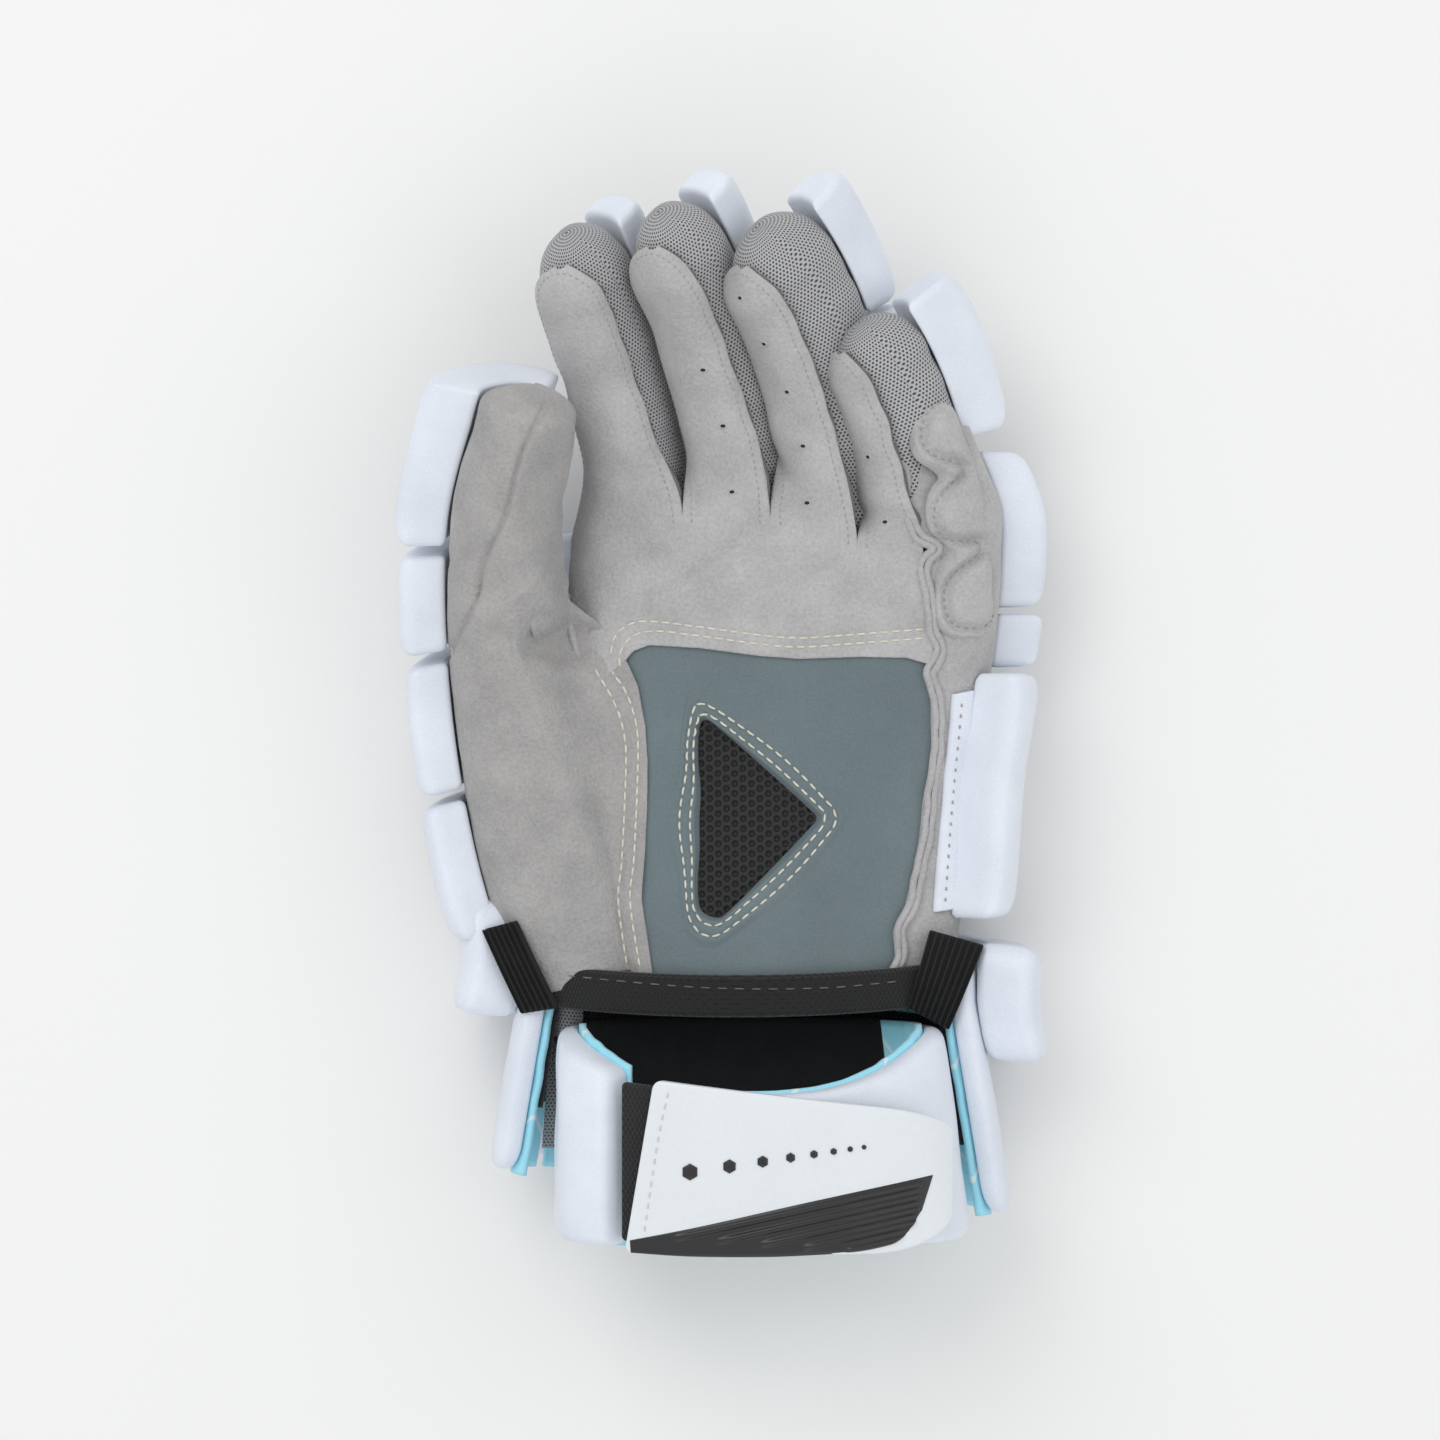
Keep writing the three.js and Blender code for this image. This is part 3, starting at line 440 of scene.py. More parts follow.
hand_wall = back_wall("back_shell", hand, (WRIST, CROTCH + 0.02, 60), (*BACK_ANGLES, 90), 0.3)
sew_on(hand_wall, "suede", "hand_back")
thumb_wall = back_wall("thumb_back", thumb, (*THUMB_BACK_ALONG, 40), (*THUMB_BACK_ANGLES, 50), 0.4)
sew_on(thumb_wall, "suede")

# The four fingers' sleeves: stretchy grey knitted mesh, a tube with a domed end, pushed into
# small cross folds where the finger bends.
FINGERS = {
    "index": (-0.198, 0.969, 0.92, 97, 26.5, 31, 8, 20, 46, 34, 0.96),
    "middle": (0.037, 1.0, 1.01, 100, 26, 31, 6, 28, 50, 28, 1),
    "ring": (0.25, 1.0, 1.13, 94, 25.5, 37, 0, 42, 54, 22, 1.2),
    "little": (0.427, 0.892, 1.25, 76, 23.5, 31, -3, 54, 46, 20, 1.5),
}
FINGER_COLUMNS = ("x", "y", "z", "length", "width", "depth", "lean", "roll", "curl", "twist", "pad")
FINGER_TAPER = 0.08
TIP_DOME = 0.2
MESH_WALL = 1.4
HOLE_PITCH = 0.0013


def finger(name, closed=True):
    """A finger's tube: an arc that curls about its side direction while it twists."""
    size = dict(zip(FINGER_COLUMNS, FINGERS[name]))
    lean, roll, curl = (math.radians(size[key]) for key in ("lean", "roll", "curl"))
    ahead = np.array([-math.sin(lean), math.cos(lean), 0])
    level = np.array([-math.cos(lean), -math.sin(lean), 0])
    front = level * math.sin(roll) + [0, 0, math.cos(roll)]
    side = np.cross(ahead, front)
    base = np.array([size["x"] * PALM_WIDTH, size["y"] * PALM_LENGTH, size["z"] * HAND_DEPTH])

    def tube(at):
        """The section at a share of the finger's length, on an arc of radius length / curl."""
        bend = curl * np.maximum(at, 0)
        reach = (np.sin(bend) / curl + np.minimum(at, 0)) * size["length"]
        rise = (1 - np.cos(bend)) / curl * size["length"]
        end = 1 - FINGER_TAPER * at
        if closed:
            end = end * closing(at, TIP_DOME, 2)
        up = front * np.cos(bend)[..., None] - ahead * np.sin(bend)[..., None]
        along = np.cross(up, side)
        turn = -np.radians(size["twist"] * np.maximum(at, 0))
        return {
            "centre": base + ahead * reach[..., None] + front * rise[..., None],
            "side": turned(np.broadcast_to(side, up.shape), along, turn),
            "front": turned(up, along, turn),
            "half": size["width"] / 2 * end,
            "deep": size["depth"] / 2 * end,
            "square": TUBE_SQUARENESS,
        }

    return tube, size


def ripples(a, b, wavelength, seed, waves=7):
    """Soft unevenness: the mean of plane waves in fixed directions about one wavelength."""
    random = np.random.default_rng(seed)
    turn = random.uniform(0, 2 * math.pi, waves)
    size = 2 * math.pi / (wavelength * random.uniform(0.7, 1.5, waves))
    phase = random.uniform(0, 2 * math.pi, waves)
    x = np.asarray(a)[..., None] * np.cos(turn) + np.asarray(b)[..., None] * np.sin(turn)
    return np.sin(x * size + phase).mean(-1)


def smoothstep(value, low, high):
    """0 below low, 1 above high, and 3t^2 - 2t^3 between."""
    t = np.clip((np.asarray(value, float) - low) / (high - low), 0, 1)
    return t * t * (3 - 2 * t)


# Holes of a knit: three waves 60 degrees apart add up to a honeycomb of peaks. HONEYCOMB is
# how much shorter a wave is than the way from hole to hole, 2 / sqrt(3).
HONEYCOMB = 1.1547
holes, holes_in, holes_out = shader_group(
    "knit_holes",
    {"Pitch": 0.0012, "Size": 0.5},
    {"Hole": "NodeSocketFloat", "Normal": "NodeSocketVector"},
)
cloth_at = shader(holes, "ShaderNodeUVMap", uv_map="cloth").outputs["UV"]
wave_number = reckoned(holes, "DIVIDE", 2 * math.pi * HONEYCOMB, holes_in["Pitch"])
peaks = 0.0
for turn in np.radians((0, 60, 120)):
    direction = {0: cloth_at, 1: (math.cos(turn), math.sin(turn), 0)}
    along = shader(holes, "ShaderNodeVectorMath", direction, operation="DOT_PRODUCT")
    phase = reckoned(holes, "MULTIPLY", along.outputs["Value"], wave_number)
    peaks = reckoned(holes, "ADD", reckoned(holes, "COSINE", phase), peaks)
edge = reckoned(holes, "ADD", holes_in["Size"], 1.1)
hole_range = {"Value": peaks, "From Min": holes_in["Size"], "From Max": edge}
hole = shader(holes, "ShaderNodeMapRange", hole_range)
sunk = reckoned(holes, "SUBTRACT", 1.0, hole.outputs[0])
hole_bump = shader(holes, "ShaderNodeBump", {"Height": sunk, "Strength": 0.8, "Distance": 0.0005})
holes.links.new(hole.outputs[0], holes_out["Hole"])
holes.links.new(hole_bump.outputs["Normal"], holes_out["Normal"])


def knitted(name, thread, gap, pitch, size, roughness=0.85, sheen=0.2):
    """A knit in one thread colour, with holes of the darker gap colour."""
    made, tree, principled = material(name, roughness, sheen)
    group = grouped(tree, holes, {"Pitch": pitch, "Size": size})
    blend = mixed(tree, group.outputs["Hole"], tone(thread), tone(gap))
    tree.links.new(blend, principled.inputs["Base Color"])
    tree.links.new(group.outputs["Normal"], principled.inputs["Normal"])
    return made


grey_mesh = knitted("grey_mesh", (176, 176, 177), (60, 60, 62), HOLE_PITCH, 0.35)
SLEEVE_STARTS = {"index": -0.16, "middle": -0.14, "ring": -0.14, "little": -0.05}
SLEEVE_FOLD = 0.55
SLEEVE_TUCK = 8.0
TUCK_TURN = math.radians(12)
for number, name in enumerate(FINGERS):
    tube, size = finger(name)
    straight = np.linspace(SLEEVE_STARTS[name], 1 - TIP_DOME, 90)
    rounded = 1 - TIP_DOME + TIP_DOME * np.sin(np.linspace(0, math.pi / 2, 26)[1:])
    at, angle = grid(np.append(straight, rounded), np.linspace(0, 2 * math.pi, 73)[:-1])
    folds = SLEEVE_FOLD * ripples(at * size["length"] * 2.2, angle * 9, 22, 40 + number)
    front = np.maximum(0, np.sin(angle + TUCK_TURN))
    tucked = SLEEVE_TUCK * (1 - smoothstep(at, -0.02, 0.2)) * front
    points = tube_point(tube, at, angle, folds - tucked)
    core = tube(at)["centre"]
    sleeve = surface("sleeve_" + name, points, grey_mesh, core, wraps=True, thickness=MESH_WALL)
    sew_on(sleeve, "mesh", "finger_sleeve_" + name)

# The foam pads over the back of the hand, the fingers and the thumb: blocks of foam in smooth
# white synthetic leather, each heat-pressed to a rounded block and sewn on along its edges.
PAD_SEAM = 1.2
BACK_PAD = 15.5
FINGER_PAD = 12.5
SIDE_ROLL = 17.0
PAD_EDGE = 0.72
PAD_FLOOR = 0.6
CROWN_POWER = 7.0
white_leather = grained("white_leather", (214, 220, 230), (232, 237, 246), 0.42, 40, 2600, 0.12, coat=0.1)


def axis_lines(half, rim, step):
    """Places along one side of a block: even in the middle, close together near its ends."""
    edge = half - rim * np.sin(np.linspace(1, 0, 6) * math.pi / 2) ** 1.5
    count = max(2, int(2 * (half - rim) / step))
    middle = np.linspace(-edge[0], edge[0], count + 1)[1:-1]
    return np.concatenate([-edge[::-1], middle, edge])


def block_lattice(size, corner, edge, step=4.0, softness=2.0):
    """A closed box of quads with rounded corners: shares (u, v, h), 0 to 1 each, and its faces.
    size is (u, v, h) in millimetres, corner the radius seen from above and edge the radius of
    the rim: what a point reaches into the rim, (x, y), is scaled by max(x, y) over its norm."""
    half = np.array(size) / 2
    corner = min(corner, half[0] * 0.95, half[1] * 0.95)
    edge = min(edge, corner, half[2] * 0.98)
    lines = [axis_lines(*side, step) for side in zip(half, (corner, corner, edge))]
    count = [len(line) for line in lines]
    number = np.arange(count[0] * count[1] * count[2]).reshape(count)
    sides = []
    for axis in range(3):
        for end in (0, -1):
            side = np.take(number, end, axis=axis)
            quads = np.stack([side[:-1, :-1], side[1:, :-1], side[1:, 1:], side[:-1, 1:]], -1).reshape(-1, 4)
            sides.append(quads[:, ::-1] if (end == 0) == (axis != 1) else quads)
    faces = np.concatenate(sides)
    used, faces = np.unique(faces, return_inverse=True)
    faces = faces.reshape(-1, 4)
    a, b, h = (line[index] for line, index in zip(lines, np.unravel_index(used, count)))
    plan = np.stack([a, b], -1)
    core = np.clip(plan, corner - half[:2], half[:2] - corner)
    out = plan - core
    reach = np.abs(out).max(-1)
    into_rim = np.maximum(0, reach - (corner - edge))
    into_top = np.maximum(0, np.abs(h) - (half[2] - edge))
    length = (into_rim**softness + into_top**softness) ** (1 / softness)
    kept = np.maximum(into_rim, into_top) / np.maximum(length, 1e-9)
    kept[length < 1e-9] = 1
    plan = core + unit(out) * (reach - into_rim + into_rim * kept)[..., None]
    h = np.sign(h) * (np.abs(h) - into_top + into_top * kept)
    return 0.5 + plan[:, 0] / size[0], 0.5 + plan[:, 1] / size[1], 0.5 + h / size[2], faces


def crown(share):
    """How a pad's top falls off towards its ends."""
    return np.sqrt(np.maximum(0, 1 - np.abs(2 * share - 1) ** CROWN_POWER))


def pad_height(u, v):
    """A pad's height as a share: full in the middle, PAD_EDGE of it at the rim."""
    return PAD_EDGE + (1 - PAD_EDGE) * crown(u) * crown(v)


def closed_block(name, points, faces, uv, look):
    """A closed solid from its points and quads, turned to face outwards."""
    a, b, c, d = (points[faces[:, k]] for k in range(4))
    volume = (a * np.cross(b, c)).sum() + (a * np.cross(c, d)).sum()
    if volume < 0:
        faces = faces[:, ::-1]
    return mesh_object(name, points, faces, look, uv[faces])


def path_length(points):
    """The length of a line through points."""
    return np.linalg.norm(np.diff(points, axis=0), axis=-1).sum()


def pad(
    name, node, at_height, seed, look=None, dents=0.3, corner=3.6, edge=2.8, soft=2.4, step=2.6
):
    """A foam pad: at_height(u, v, h, rough) gives its points, pushed about by soft dents."""
    line, middle = np.linspace(0, 1, 25), np.full(25, 0.5)
    lines = ((line, middle, 0 * line + 1), (middle, line, 0 * line + 1), (middle, middle, line))
    size = [path_length(at_height(*shares, 0)) for shares in lines]
    u, v, h, faces = block_lattice(size, corner, edge, step, soft)
    rough = dents * ripples(u * size[0], v * size[1], 26, seed)
    uv = np.stack([u * size[0], v * size[1]], -1)
    made = closed_block(name, at_height(u, v, h, rough), faces, uv, look or white_leather)
    sew_on(made, "pad", node)
    return made


def between(first, last, share):
    """A value at a share of the way: first + (last - first) * share."""
    return first + (last - first) * share


def above_table(points, lowest=0.0):
    """Points with no height under the lowest one, so that a piece lies flat there."""
    points[..., 2] = np.maximum(points[..., 2], lowest)
    return points


def pad_on(tube, start, end, angle_from, angle_to, height):
    """Where a pad on a tube lies: inner PAD_FLOOR off it, and its top at pad_height."""

    def at_height(u, v, h, rough):
        """u goes along the tube, v round it and h outwards."""
        angle = np.radians(between(angle_from, angle_to, v))
        out = PAD_FLOOR + h * (height * pad_height(u, v) - PAD_FLOOR) + rough * h
        return above_table(tube_point(tube, between(start, end, u), angle, out))

    return at_height


BACK_ROWS = {
    "low": (0.17, 0.415, (-145, -90, -42)),
    "middle": (0.43, 0.64, (-145, -112, -76, -42)),
    "upper": (0.655, 0.765, (-160, -112, -76, -36, -6)),
    "knuckle": (0.78, 0.94, (-160, -122, -85, -46)),
}
for row, (start, end, angles) in BACK_ROWS.items():
    for i, (low, high) in enumerate(zip(angles[:-1], angles[1:])):
        lies = pad_on(hand, start, end, low + PAD_SEAM, high - PAD_SEAM, BACK_PAD)
        node = "back_pad_%s_%d" % (row, i + 1)
        pad(node, node, lies, 100 + 10 * i + len(row))
pad("knuckle_pad", "knuckle_pad_little", pad_on(hand, 0.78, 1.1, -44, -9, BACK_PAD), 150)
pad("side_roll", "side_roll", pad_on(hand, 0.135, 0.64, -40, 28, SIDE_ROLL), 151)


def open_thumb(at):
    """The thumb's section without its dome."""
    return thumb(at, closed=False)


THUMB_PADS = {
    "base": (0.17, 0.345, 150, 222, 14.0),
    "lower": (0.36, 0.515, 150, 236, 14.0),
    "upper": (0.53, 0.64, 147, 250, 15.0),
    "tip": (0.655, 0.945, 136, 248, 17.0),
}
for name, (start, end, front, back, height) in THUMB_PADS.items():
    node = "thumb_pad_" + name
    pad(node, node, pad_on(open_thumb, start, end, front, back, height), 160 + len(name))

FINGER_PADS = {"base": (0.04, 0.29), "mid": (0.31, 0.53), "tip": (0.55, 0.95)}
LITTLE_TIP = (0.41, 0.96)
FINGER_PAD_WIDTH = 0.68


def finger_pad(name, start, end):
    """Where a finger's pad lies: against the sleeve's back, with a level top across."""
    tube, size = finger(name, closed=False)

    def at_height(u, v, h, rough):
        """The sleeve's superellipse at across, and from there back to the lower of two tops."""
        s = tube(between(start, end, u))
        across = (2 * v - 1) * FINGER_PAD_WIDTH
        depth = (1 - np.abs(across) ** s["square"]) ** (1 / s["square"])
        top = FINGER_PAD * size["pad"]
        foot = depth * s["deep"] + PAD_FLOOR
        level = s["deep"] + top * pad_height(u, 0.5)
        round_ = depth * s["deep"] + top * pad_height(u, v)
        out = foot + h * (np.minimum(level, round_) - foot) + rough * h
        aside = s["side"] * (across * s["half"])[..., None]
        return s["centre"] + aside - s["front"] * out[..., None]

    return at_height


for finger_number, name in enumerate(FINGERS):
    places = FINGER_PADS if name != "little" else {"tip": LITTLE_TIP}
    for place_name, (start, end) in places.items():
        node = "finger_pad_%s_%s" % (name, place_name)
        seed = 170 + finger_number * 5 + len(place_name)
        pad(node, node, finger_pad(name, start, end), seed, dents=0.2)

# The cuff: a black knitted underlay, a fat white roll round the wrist and three flared flaps of
# foam in white leather, lined with light blue cloth.
CUFF_SHIFT = 5.0
CUFF_TILT = 5.0
CUFF_HALF = 61.5
CUFF_FLARE = 11.0
CUFF_DEEP = 21.0
CUFF_SQUARENESS = 2.8
FLAP_LOW = -64.0
FLAP_TOP = 14.0
FLAP_THICKNESS = 7.0
FLAP_IN = 3.1
FLAP_SUNK = 0.3
ROLL_LOW = -17.0
ROLL_HIGH = 19.0
ROLL_IN = 10.4
ROLL_THICKNESS = 20.0
ROLL_ANGLES = (164, 376)
UNDERLAY_ALONG = (-44, -6.5)
UNDERLAY_ANGLES = (160, 380)
FLAPS = {"left": (158, 206), "back": (214, 326), "right": (334, 382)}


def cuff(y):
    """The cuff's section at a height down the glove: it flares below the palm's edge."""
    flare = CUFF_FLARE * np.maximum(0, -y) / -FLAP_LOW
    tilt = math.radians(CUFF_TILT)
    return {
        "centre": vec(CUFF_SHIFT, y, HAND_HEIGHT + 1),
        "side": vec(math.cos(tilt), -math.sin(tilt), 0 * y),
        "front": vec(0, 0, 1 + 0 * y),
        "half": CUFF_HALF + flare,
        "deep": CUFF_DEEP + flare / 2,
        "square": CUFF_SQUARENESS,
    }


knit_black = knitted("black_knit_and_shade", (19, 19, 20), (4, 4, 5), 0.0016, 0.1)
y, angle = spread((*UNDERLAY_ALONG, 24), (*UNDERLAY_ANGLES, 120))
underlay_cloth = tube_point(cuff, y, np.radians(angle), 0)
underlay = surface("cuff_underlay", underlay_cloth, knit_black, cuff(y)["centre"], thickness=1.6)
sew_on(underlay, "knit", "cuff_underlay")


def roll_place(u, v, h, rough):
    """The roll: u goes up the glove, v round the cuff, and h outwards to its round top."""
    y = between(ROLL_LOW, ROLL_HIGH, u)
    out = ROLL_IN + h * ROLL_THICKNESS * pad_height(u, v) + rough * h
    return above_table(tube_point(cuff, y, np.radians(between(*ROLL_ANGLES, v)), out))


def flap_face(name, u, v, out):
    """A place on a flap's part of the cuff: up the glove by u, round it by v."""
    y = between(FLAP_LOW, FLAP_TOP, u)
    return tube_point(cuff, y, np.radians(between(*FLAPS[name], v)), out)


pad("wrist_roll", "wrist_roll", roll_place, 200, dents=0.6, corner=9, edge=9, soft=2.0)
for name in FLAPS:

    def flap_place(u, v, h, rough):
        """The flap's foam, its outer face at FLAP_THICKNESS times pad_height."""
        out = FLAP_IN + h * (FLAP_THICKNESS * pad_height(u, v) - FLAP_SUNK) + rough * h
        return above_table(flap_face(name, u, v, out))

    pad("flap_" + name, "cuff_flap_" + name, flap_place, 210 + len(name), corner=8)

# The loose wristband: a foam ring in white leather, lined with light blue cloth, with black painted
# shade inside its back half. Its left end lies on top of the front, and a woven strap holds it there.
BAND_SHIFT = 4.8
BAND_HALF = 59.7
BAND_FLARE = 4.5
BAND_DRIFT = 0.8
BAND_HEIGHT = 50.0
BAND_DEEP = 33.0
BAND_TOP = -13.0
BAND_DIP = 18.0
BAND_LOW = -77.0
BAND_PADDING = 7.0
BAND_LEFT_END = -36.0
BAND_RIGHT_END = -8.0
BAND_END = 0.06
BAND_END_PADDING = 4.0
LINING_WALL = 1.8


def band(y):
    """The band's section at a height down the glove."""
    flare = BAND_FLARE * (BAND_TOP - y) / (BAND_TOP - BAND_LOW)
    return {
        "centre": vec(BAND_SHIFT + flare * BAND_DRIFT, y, BAND_HEIGHT),
        "side": vec(1, 0, 0 * y),
        "front": vec(0, 0, 1 + 0 * y),
        "half": BAND_HALF + flare,
        "deep": BAND_DEEP + 0 * y,
        "square": TUBE_SQUARENESS,
    }


def band_angle(x, y):
    """The angle on the band's front that lies over x."""
    s = band(np.asarray(y, float))
    share = np.clip((x - s["centre"][..., 0]) / s["half"], -0.999, 0.999)
    return np.arccos(power(share, s["square"] / 2))


def band_place(u, v, out):
    """A place on the band: from its lower to its upper edge by u, round it by v."""
    first = band_angle(BAND_LEFT_END, BAND_LOW)
    last = band_angle(BAND_RIGHT_END, BAND_LOW) + 2 * math.pi
    angle = between(first, last, v)
    top = BAND_TOP - BAND_DIP * np.maximum(0, np.sin(angle)) ** 2
    return tube_point(band, between(BAND_LOW, top, u), angle, out)


def band_body(u, v, h, rough):
    """The band's foam: h from its inner wall to the outer one, which swells at its left end."""
    swell = BAND_END_PADDING * np.clip(2 - v / BAND_END, 0, 1)
    outer = (pad_height(u, 0.5) - 1) * BAND_PADDING + swell
    return band_place(u, v, -BAND_PADDING + h * (outer + BAND_PADDING) + rough * h)


pad("wristband", "band", band_body, 230, dents=0.4, corner=4, edge=3.4)

# The lining cloth of the band and the flaps: blue with thin white wavy lines. Inside the back half
# of the band it is plain black instead, painted shade where the ring's inside lies in shade. It is
# sewn in along the edges of the leather. A line runs wherever the slanted way across the cloth, moved
# about by noise, nears a multiple of its pitch.
waves_group, waves_in, waves_out = shader_group(
    "wavy_lines", {"Pitch": 0.03, "Width": 0.0006}, {"Line": "NodeSocketFloat"}
)


def vector_math(operation, first, second):
    """A Vector Math node of the wavy lines on two vectors."""
    return shader(waves_group, "ShaderNodeVectorMath", {0: first, 1: second}, operation=operation).outputs


WOBBLE = (0.018, 0.018, 0)
SLANT = (0.6, 0.8, 0)
lining_at = shader(waves_group, "ShaderNodeUVMap", uv_map="cloth").outputs["UV"]
wobble = noise(waves_group, lining_at, 38.0, 1.0).outputs["Color"]
moved = vector_math("ADD", lining_at, vector_math("MULTIPLY", wobble, WOBBLE)["Vector"])
slanted = vector_math("DOT_PRODUCT", moved["Vector"], SLANT)["Value"]
nearest = reckoned(waves_group, "PINGPONG", slanted, waves_in["Pitch"])
line = reckoned(waves_group, "LESS_THAN", nearest, waves_in["Width"])
waves_group.links.new(line, waves_out["Line"])
BLUE = (165, 233, 250)
PALE_BLUE = (226, 243, 249)


def lining_material(name):
    """Blue cloth with white wavy lines."""
    made, tree, principled = material(name, 0.9, 0.3)
    lines = grouped(tree, waves_group, {"Pitch": 0.011, "Width": 0.0006})
    colour = mixed(tree, lines.outputs["Line"], tone(BLUE), tone(PALE_BLUE))
    weave = grouped(tree, grain, {"Blotch scale": 90, "Nap scale": 2600, "Nap height": 0.5})
    tree.links.new(colour, principled.inputs["Base Color"])
    tree.links.new(weave.outputs["Normal"], principled.inputs["Normal"])
    return made


blue_lining = lining_material("blue_lining")
# Plain black for the inside of the band's back half: painted shade, where the ring's inside lies in shade.
black_knit_and_shade = grained("black_inside_shade", (9, 9, 10), (16, 16, 17), 0.95, 90, 1800, 0.4)
# Stretches of the lining, as shares of the way round the band from its left end: blue, then black
# painted shade where the ring's inside lies in shade, then blue.
BAND_LININGS = [
    ("band_lining_left", 0.0, 0.17, blue_lining),
    ("band_lining", 0.17, 0.57, black_knit_and_shade),
    ("band_lining_right", 0.57, 1.0, blue_lining),
]
for name, first, last, look in BAND_LININGS:
    u, v = spread((-0.01, 1.015, 30), (first, last, 120))
    fluff = 0.35 * ripples(u * 60, v * 380, 12, 241)
    points = band_place(u, v, -BAND_PADDING + 0.1 + fluff)
    lining = surface(name, points, look, band(0 * u)["centre"], thickness=LINING_WALL)
    sew_on(lining, "lining", *(["band_lining"] if name == "band_lining" else []))

for name, (angle_from, angle_to) in FLAPS.items():
    y, angle = spread((FLAP_LOW - 1.2, FLAP_TOP, 40), (angle_from - 1, angle_to + 1, 60))
    angle = np.radians(angle)
    fluff = 0.3 * ripples(y, angle * 60, 12, 250 + len(name))
    points = above_table(tube_point(cuff, y, angle, FLAP_IN - 0.5 + fluff), 0.2)
    lining = surface("flap_lining_" + name, points, blue_lining, cuff(y)["centre"], thickness=1.9)
    sew_on(lining, "lining", "flap_lining_" + name)

# The strap across the band: black woven elastic, with a moulded plate sewn over its end. The
# plate is pale with a black ribbed wedge along its foot.
PLATE_LEFT = -30.0
PLATE_RIGHT = 61.0
PLATE_HEIGHT = 52.0
PLATE_SLOPE = 11.0
PLATE_SKEW = 8.0
STRAP_LEFT = -33.0
STRAP_CORNER = 0.25


def strap_place(u, v, out, low, high, left, right, corner):
    """A place on a strap round the band's front: u up it, v from its right end to its left."""
    edge = np.maximum(0, 1 - v / STRAP_CORNER)
    short = corner * (1 - np.sqrt(1 - 0.99 * edge**2))
    top = BAND_LOW - 1 + PLATE_HEIGHT - PLATE_SLOPE * (1 - v) + high
    y = BAND_LOW + low + short + (top - short / 2 - BAND_LOW - low - short) * u
    skew = PLATE_SKEW if left == PLATE_LEFT else 0
    across = between(right, left + skew * u, v)
    return tube_point(band, y, band_angle(across, y), out)


woven_black = knitted("woven_black", (27, 27, 29), (6, 6, 7), 0.0014, 0.3)


def strap_body(u, v, h, rough):
    """The elastic: 2 mm by h, just over the band's leather."""
    return strap_place(u, v, 0.3 + 2 * h, 2, -1, STRAP_LEFT, PLATE_RIGHT - 4, 8)


pad("strap_elastic", "strap_elastic", strap_body, 260, woven_black, dents=0, corner=1.5, edge=0.9)


def plate_body(u, v, h, rough):
    """The plate: 3 mm by h, over the elastic."""
    return strap_place(u, v, 2.9 + 3 * h, -1, 0, PLATE_LEFT, PLATE_RIGHT, 12)


plate_white = grained("plate_white", (222, 227, 230), (228, 232, 235), 0.35, 30, 900, 0.05, coat=0.2)
pad("strap_plate", "strap_plate", plate_body, 261, plate_white, dents=0, corner=2.5, edge=0.8)

# The hem along the palm's lower edge: black knitted tape, with black ribbed elastics from its
# ends to the roll.
HEM_TOP = 7.5
HEM_SAG = 4.0
HEM_HEIGHT = 13.0
HEM_ANGLES = (28, 166)
HEM_SUNK = 1.5
HEM_THICKNESS = 6.2


def hem_body(u, v, h, rough):
    """The tape round the palm's front, its upper line sagging as a parabola over x."""
    angle = np.radians(between(*HEM_ANGLES, v))
    points = tube_point(hand, 0 * u, angle, HEM_THICKNESS * h - HEM_SUNK)
    line = HEM_TOP - HEM_SAG * (1 - (points[..., 0] / (PALM_WIDTH / 2)) ** 2)
    points[..., 1] = line - 0.3 - HEM_HEIGHT * (1 - u)
    return points


pad("palm_hem", "palm_hem", hem_body, 270, knit_black, dents=0.2, corner=2, edge=1.9)

ELASTICS = {
    "left": ((-66, -9, 47), (-54, -7, 50), (-78, 17, 49), (-67, 20, 51)),
    "right": ((53, -7, 50), (66, -14, 46), (60, 17, 49), (77, 12, 44)),
}
ELASTIC_BULGE = 2.0
RIB_PITCH = 1.9
RIB_HEIGHT = 0.7
black_rib = grained("black_rib", (12, 12, 13), (24, 24, 25), 0.8, 100, 2200, 0.5)


def blended(first, last, share):
    """Points that go from first to last as the share goes from 0 to 1."""
    share = np.asarray(share)[..., None]
    return first * (1 - share) + last * share


def between_corners(corners, u, v):
    """Points between four corners: a to b and c to d by v, and from the first line on by u."""
    a, b, c, d = np.array(corners, float)
    return blended(blended(a, b, v), blended(c, d, v), u)


for name, corners in ELASTICS.items():
    width = np.linalg.norm(np.subtract(corners[1], corners[0]))

    def elastic_body(u, v, h, rough):
        """Flat between its corners, then a sine's bulge along it and cosine ribs across it."""
        points = between_corners(corners, u, v)
        rib = RIB_HEIGHT * np.cos(v * width / RIB_PITCH * 2 * math.pi) * h
        points[..., 2] += ELASTIC_BULGE * np.sin(math.pi * u) + 2 * h + rib
        return points

    node = "elastic_" + name
    pad(node, node, elastic_body, 280, black_rib, dents=0, corner=0.8, edge=0.7, step=0.35)

# The thumb's front and its heel: one panel of the same suede, soft and a little creased, sewn
# over the palm's patch with two rows of cream stitches. A gusset seam runs down from its tip.
THENAR_EDGE = [(612, 625), (622, 645), (634, 664), (643, 685), (650, 726), (651, 762)]
THENAR_EDGE += [(647, 859), (644, 900), (656, 990)]
THENAR_PLANE = 51.0
WEB_LOW = 107.0
WEB_HIGH = 121.0
PANEL_LIFT = 1.2
UNDER = np.array([0.0, 0.0, 40.0])
PANEL_START = 155
PANEL_TURN = 128
OPEN_TURN = (163, 285)
TIP_BACK_ALONG = 0.55
TIP_BACK_ANGLES = (140, 405)
WEB_ANGLES = (-12, 176)


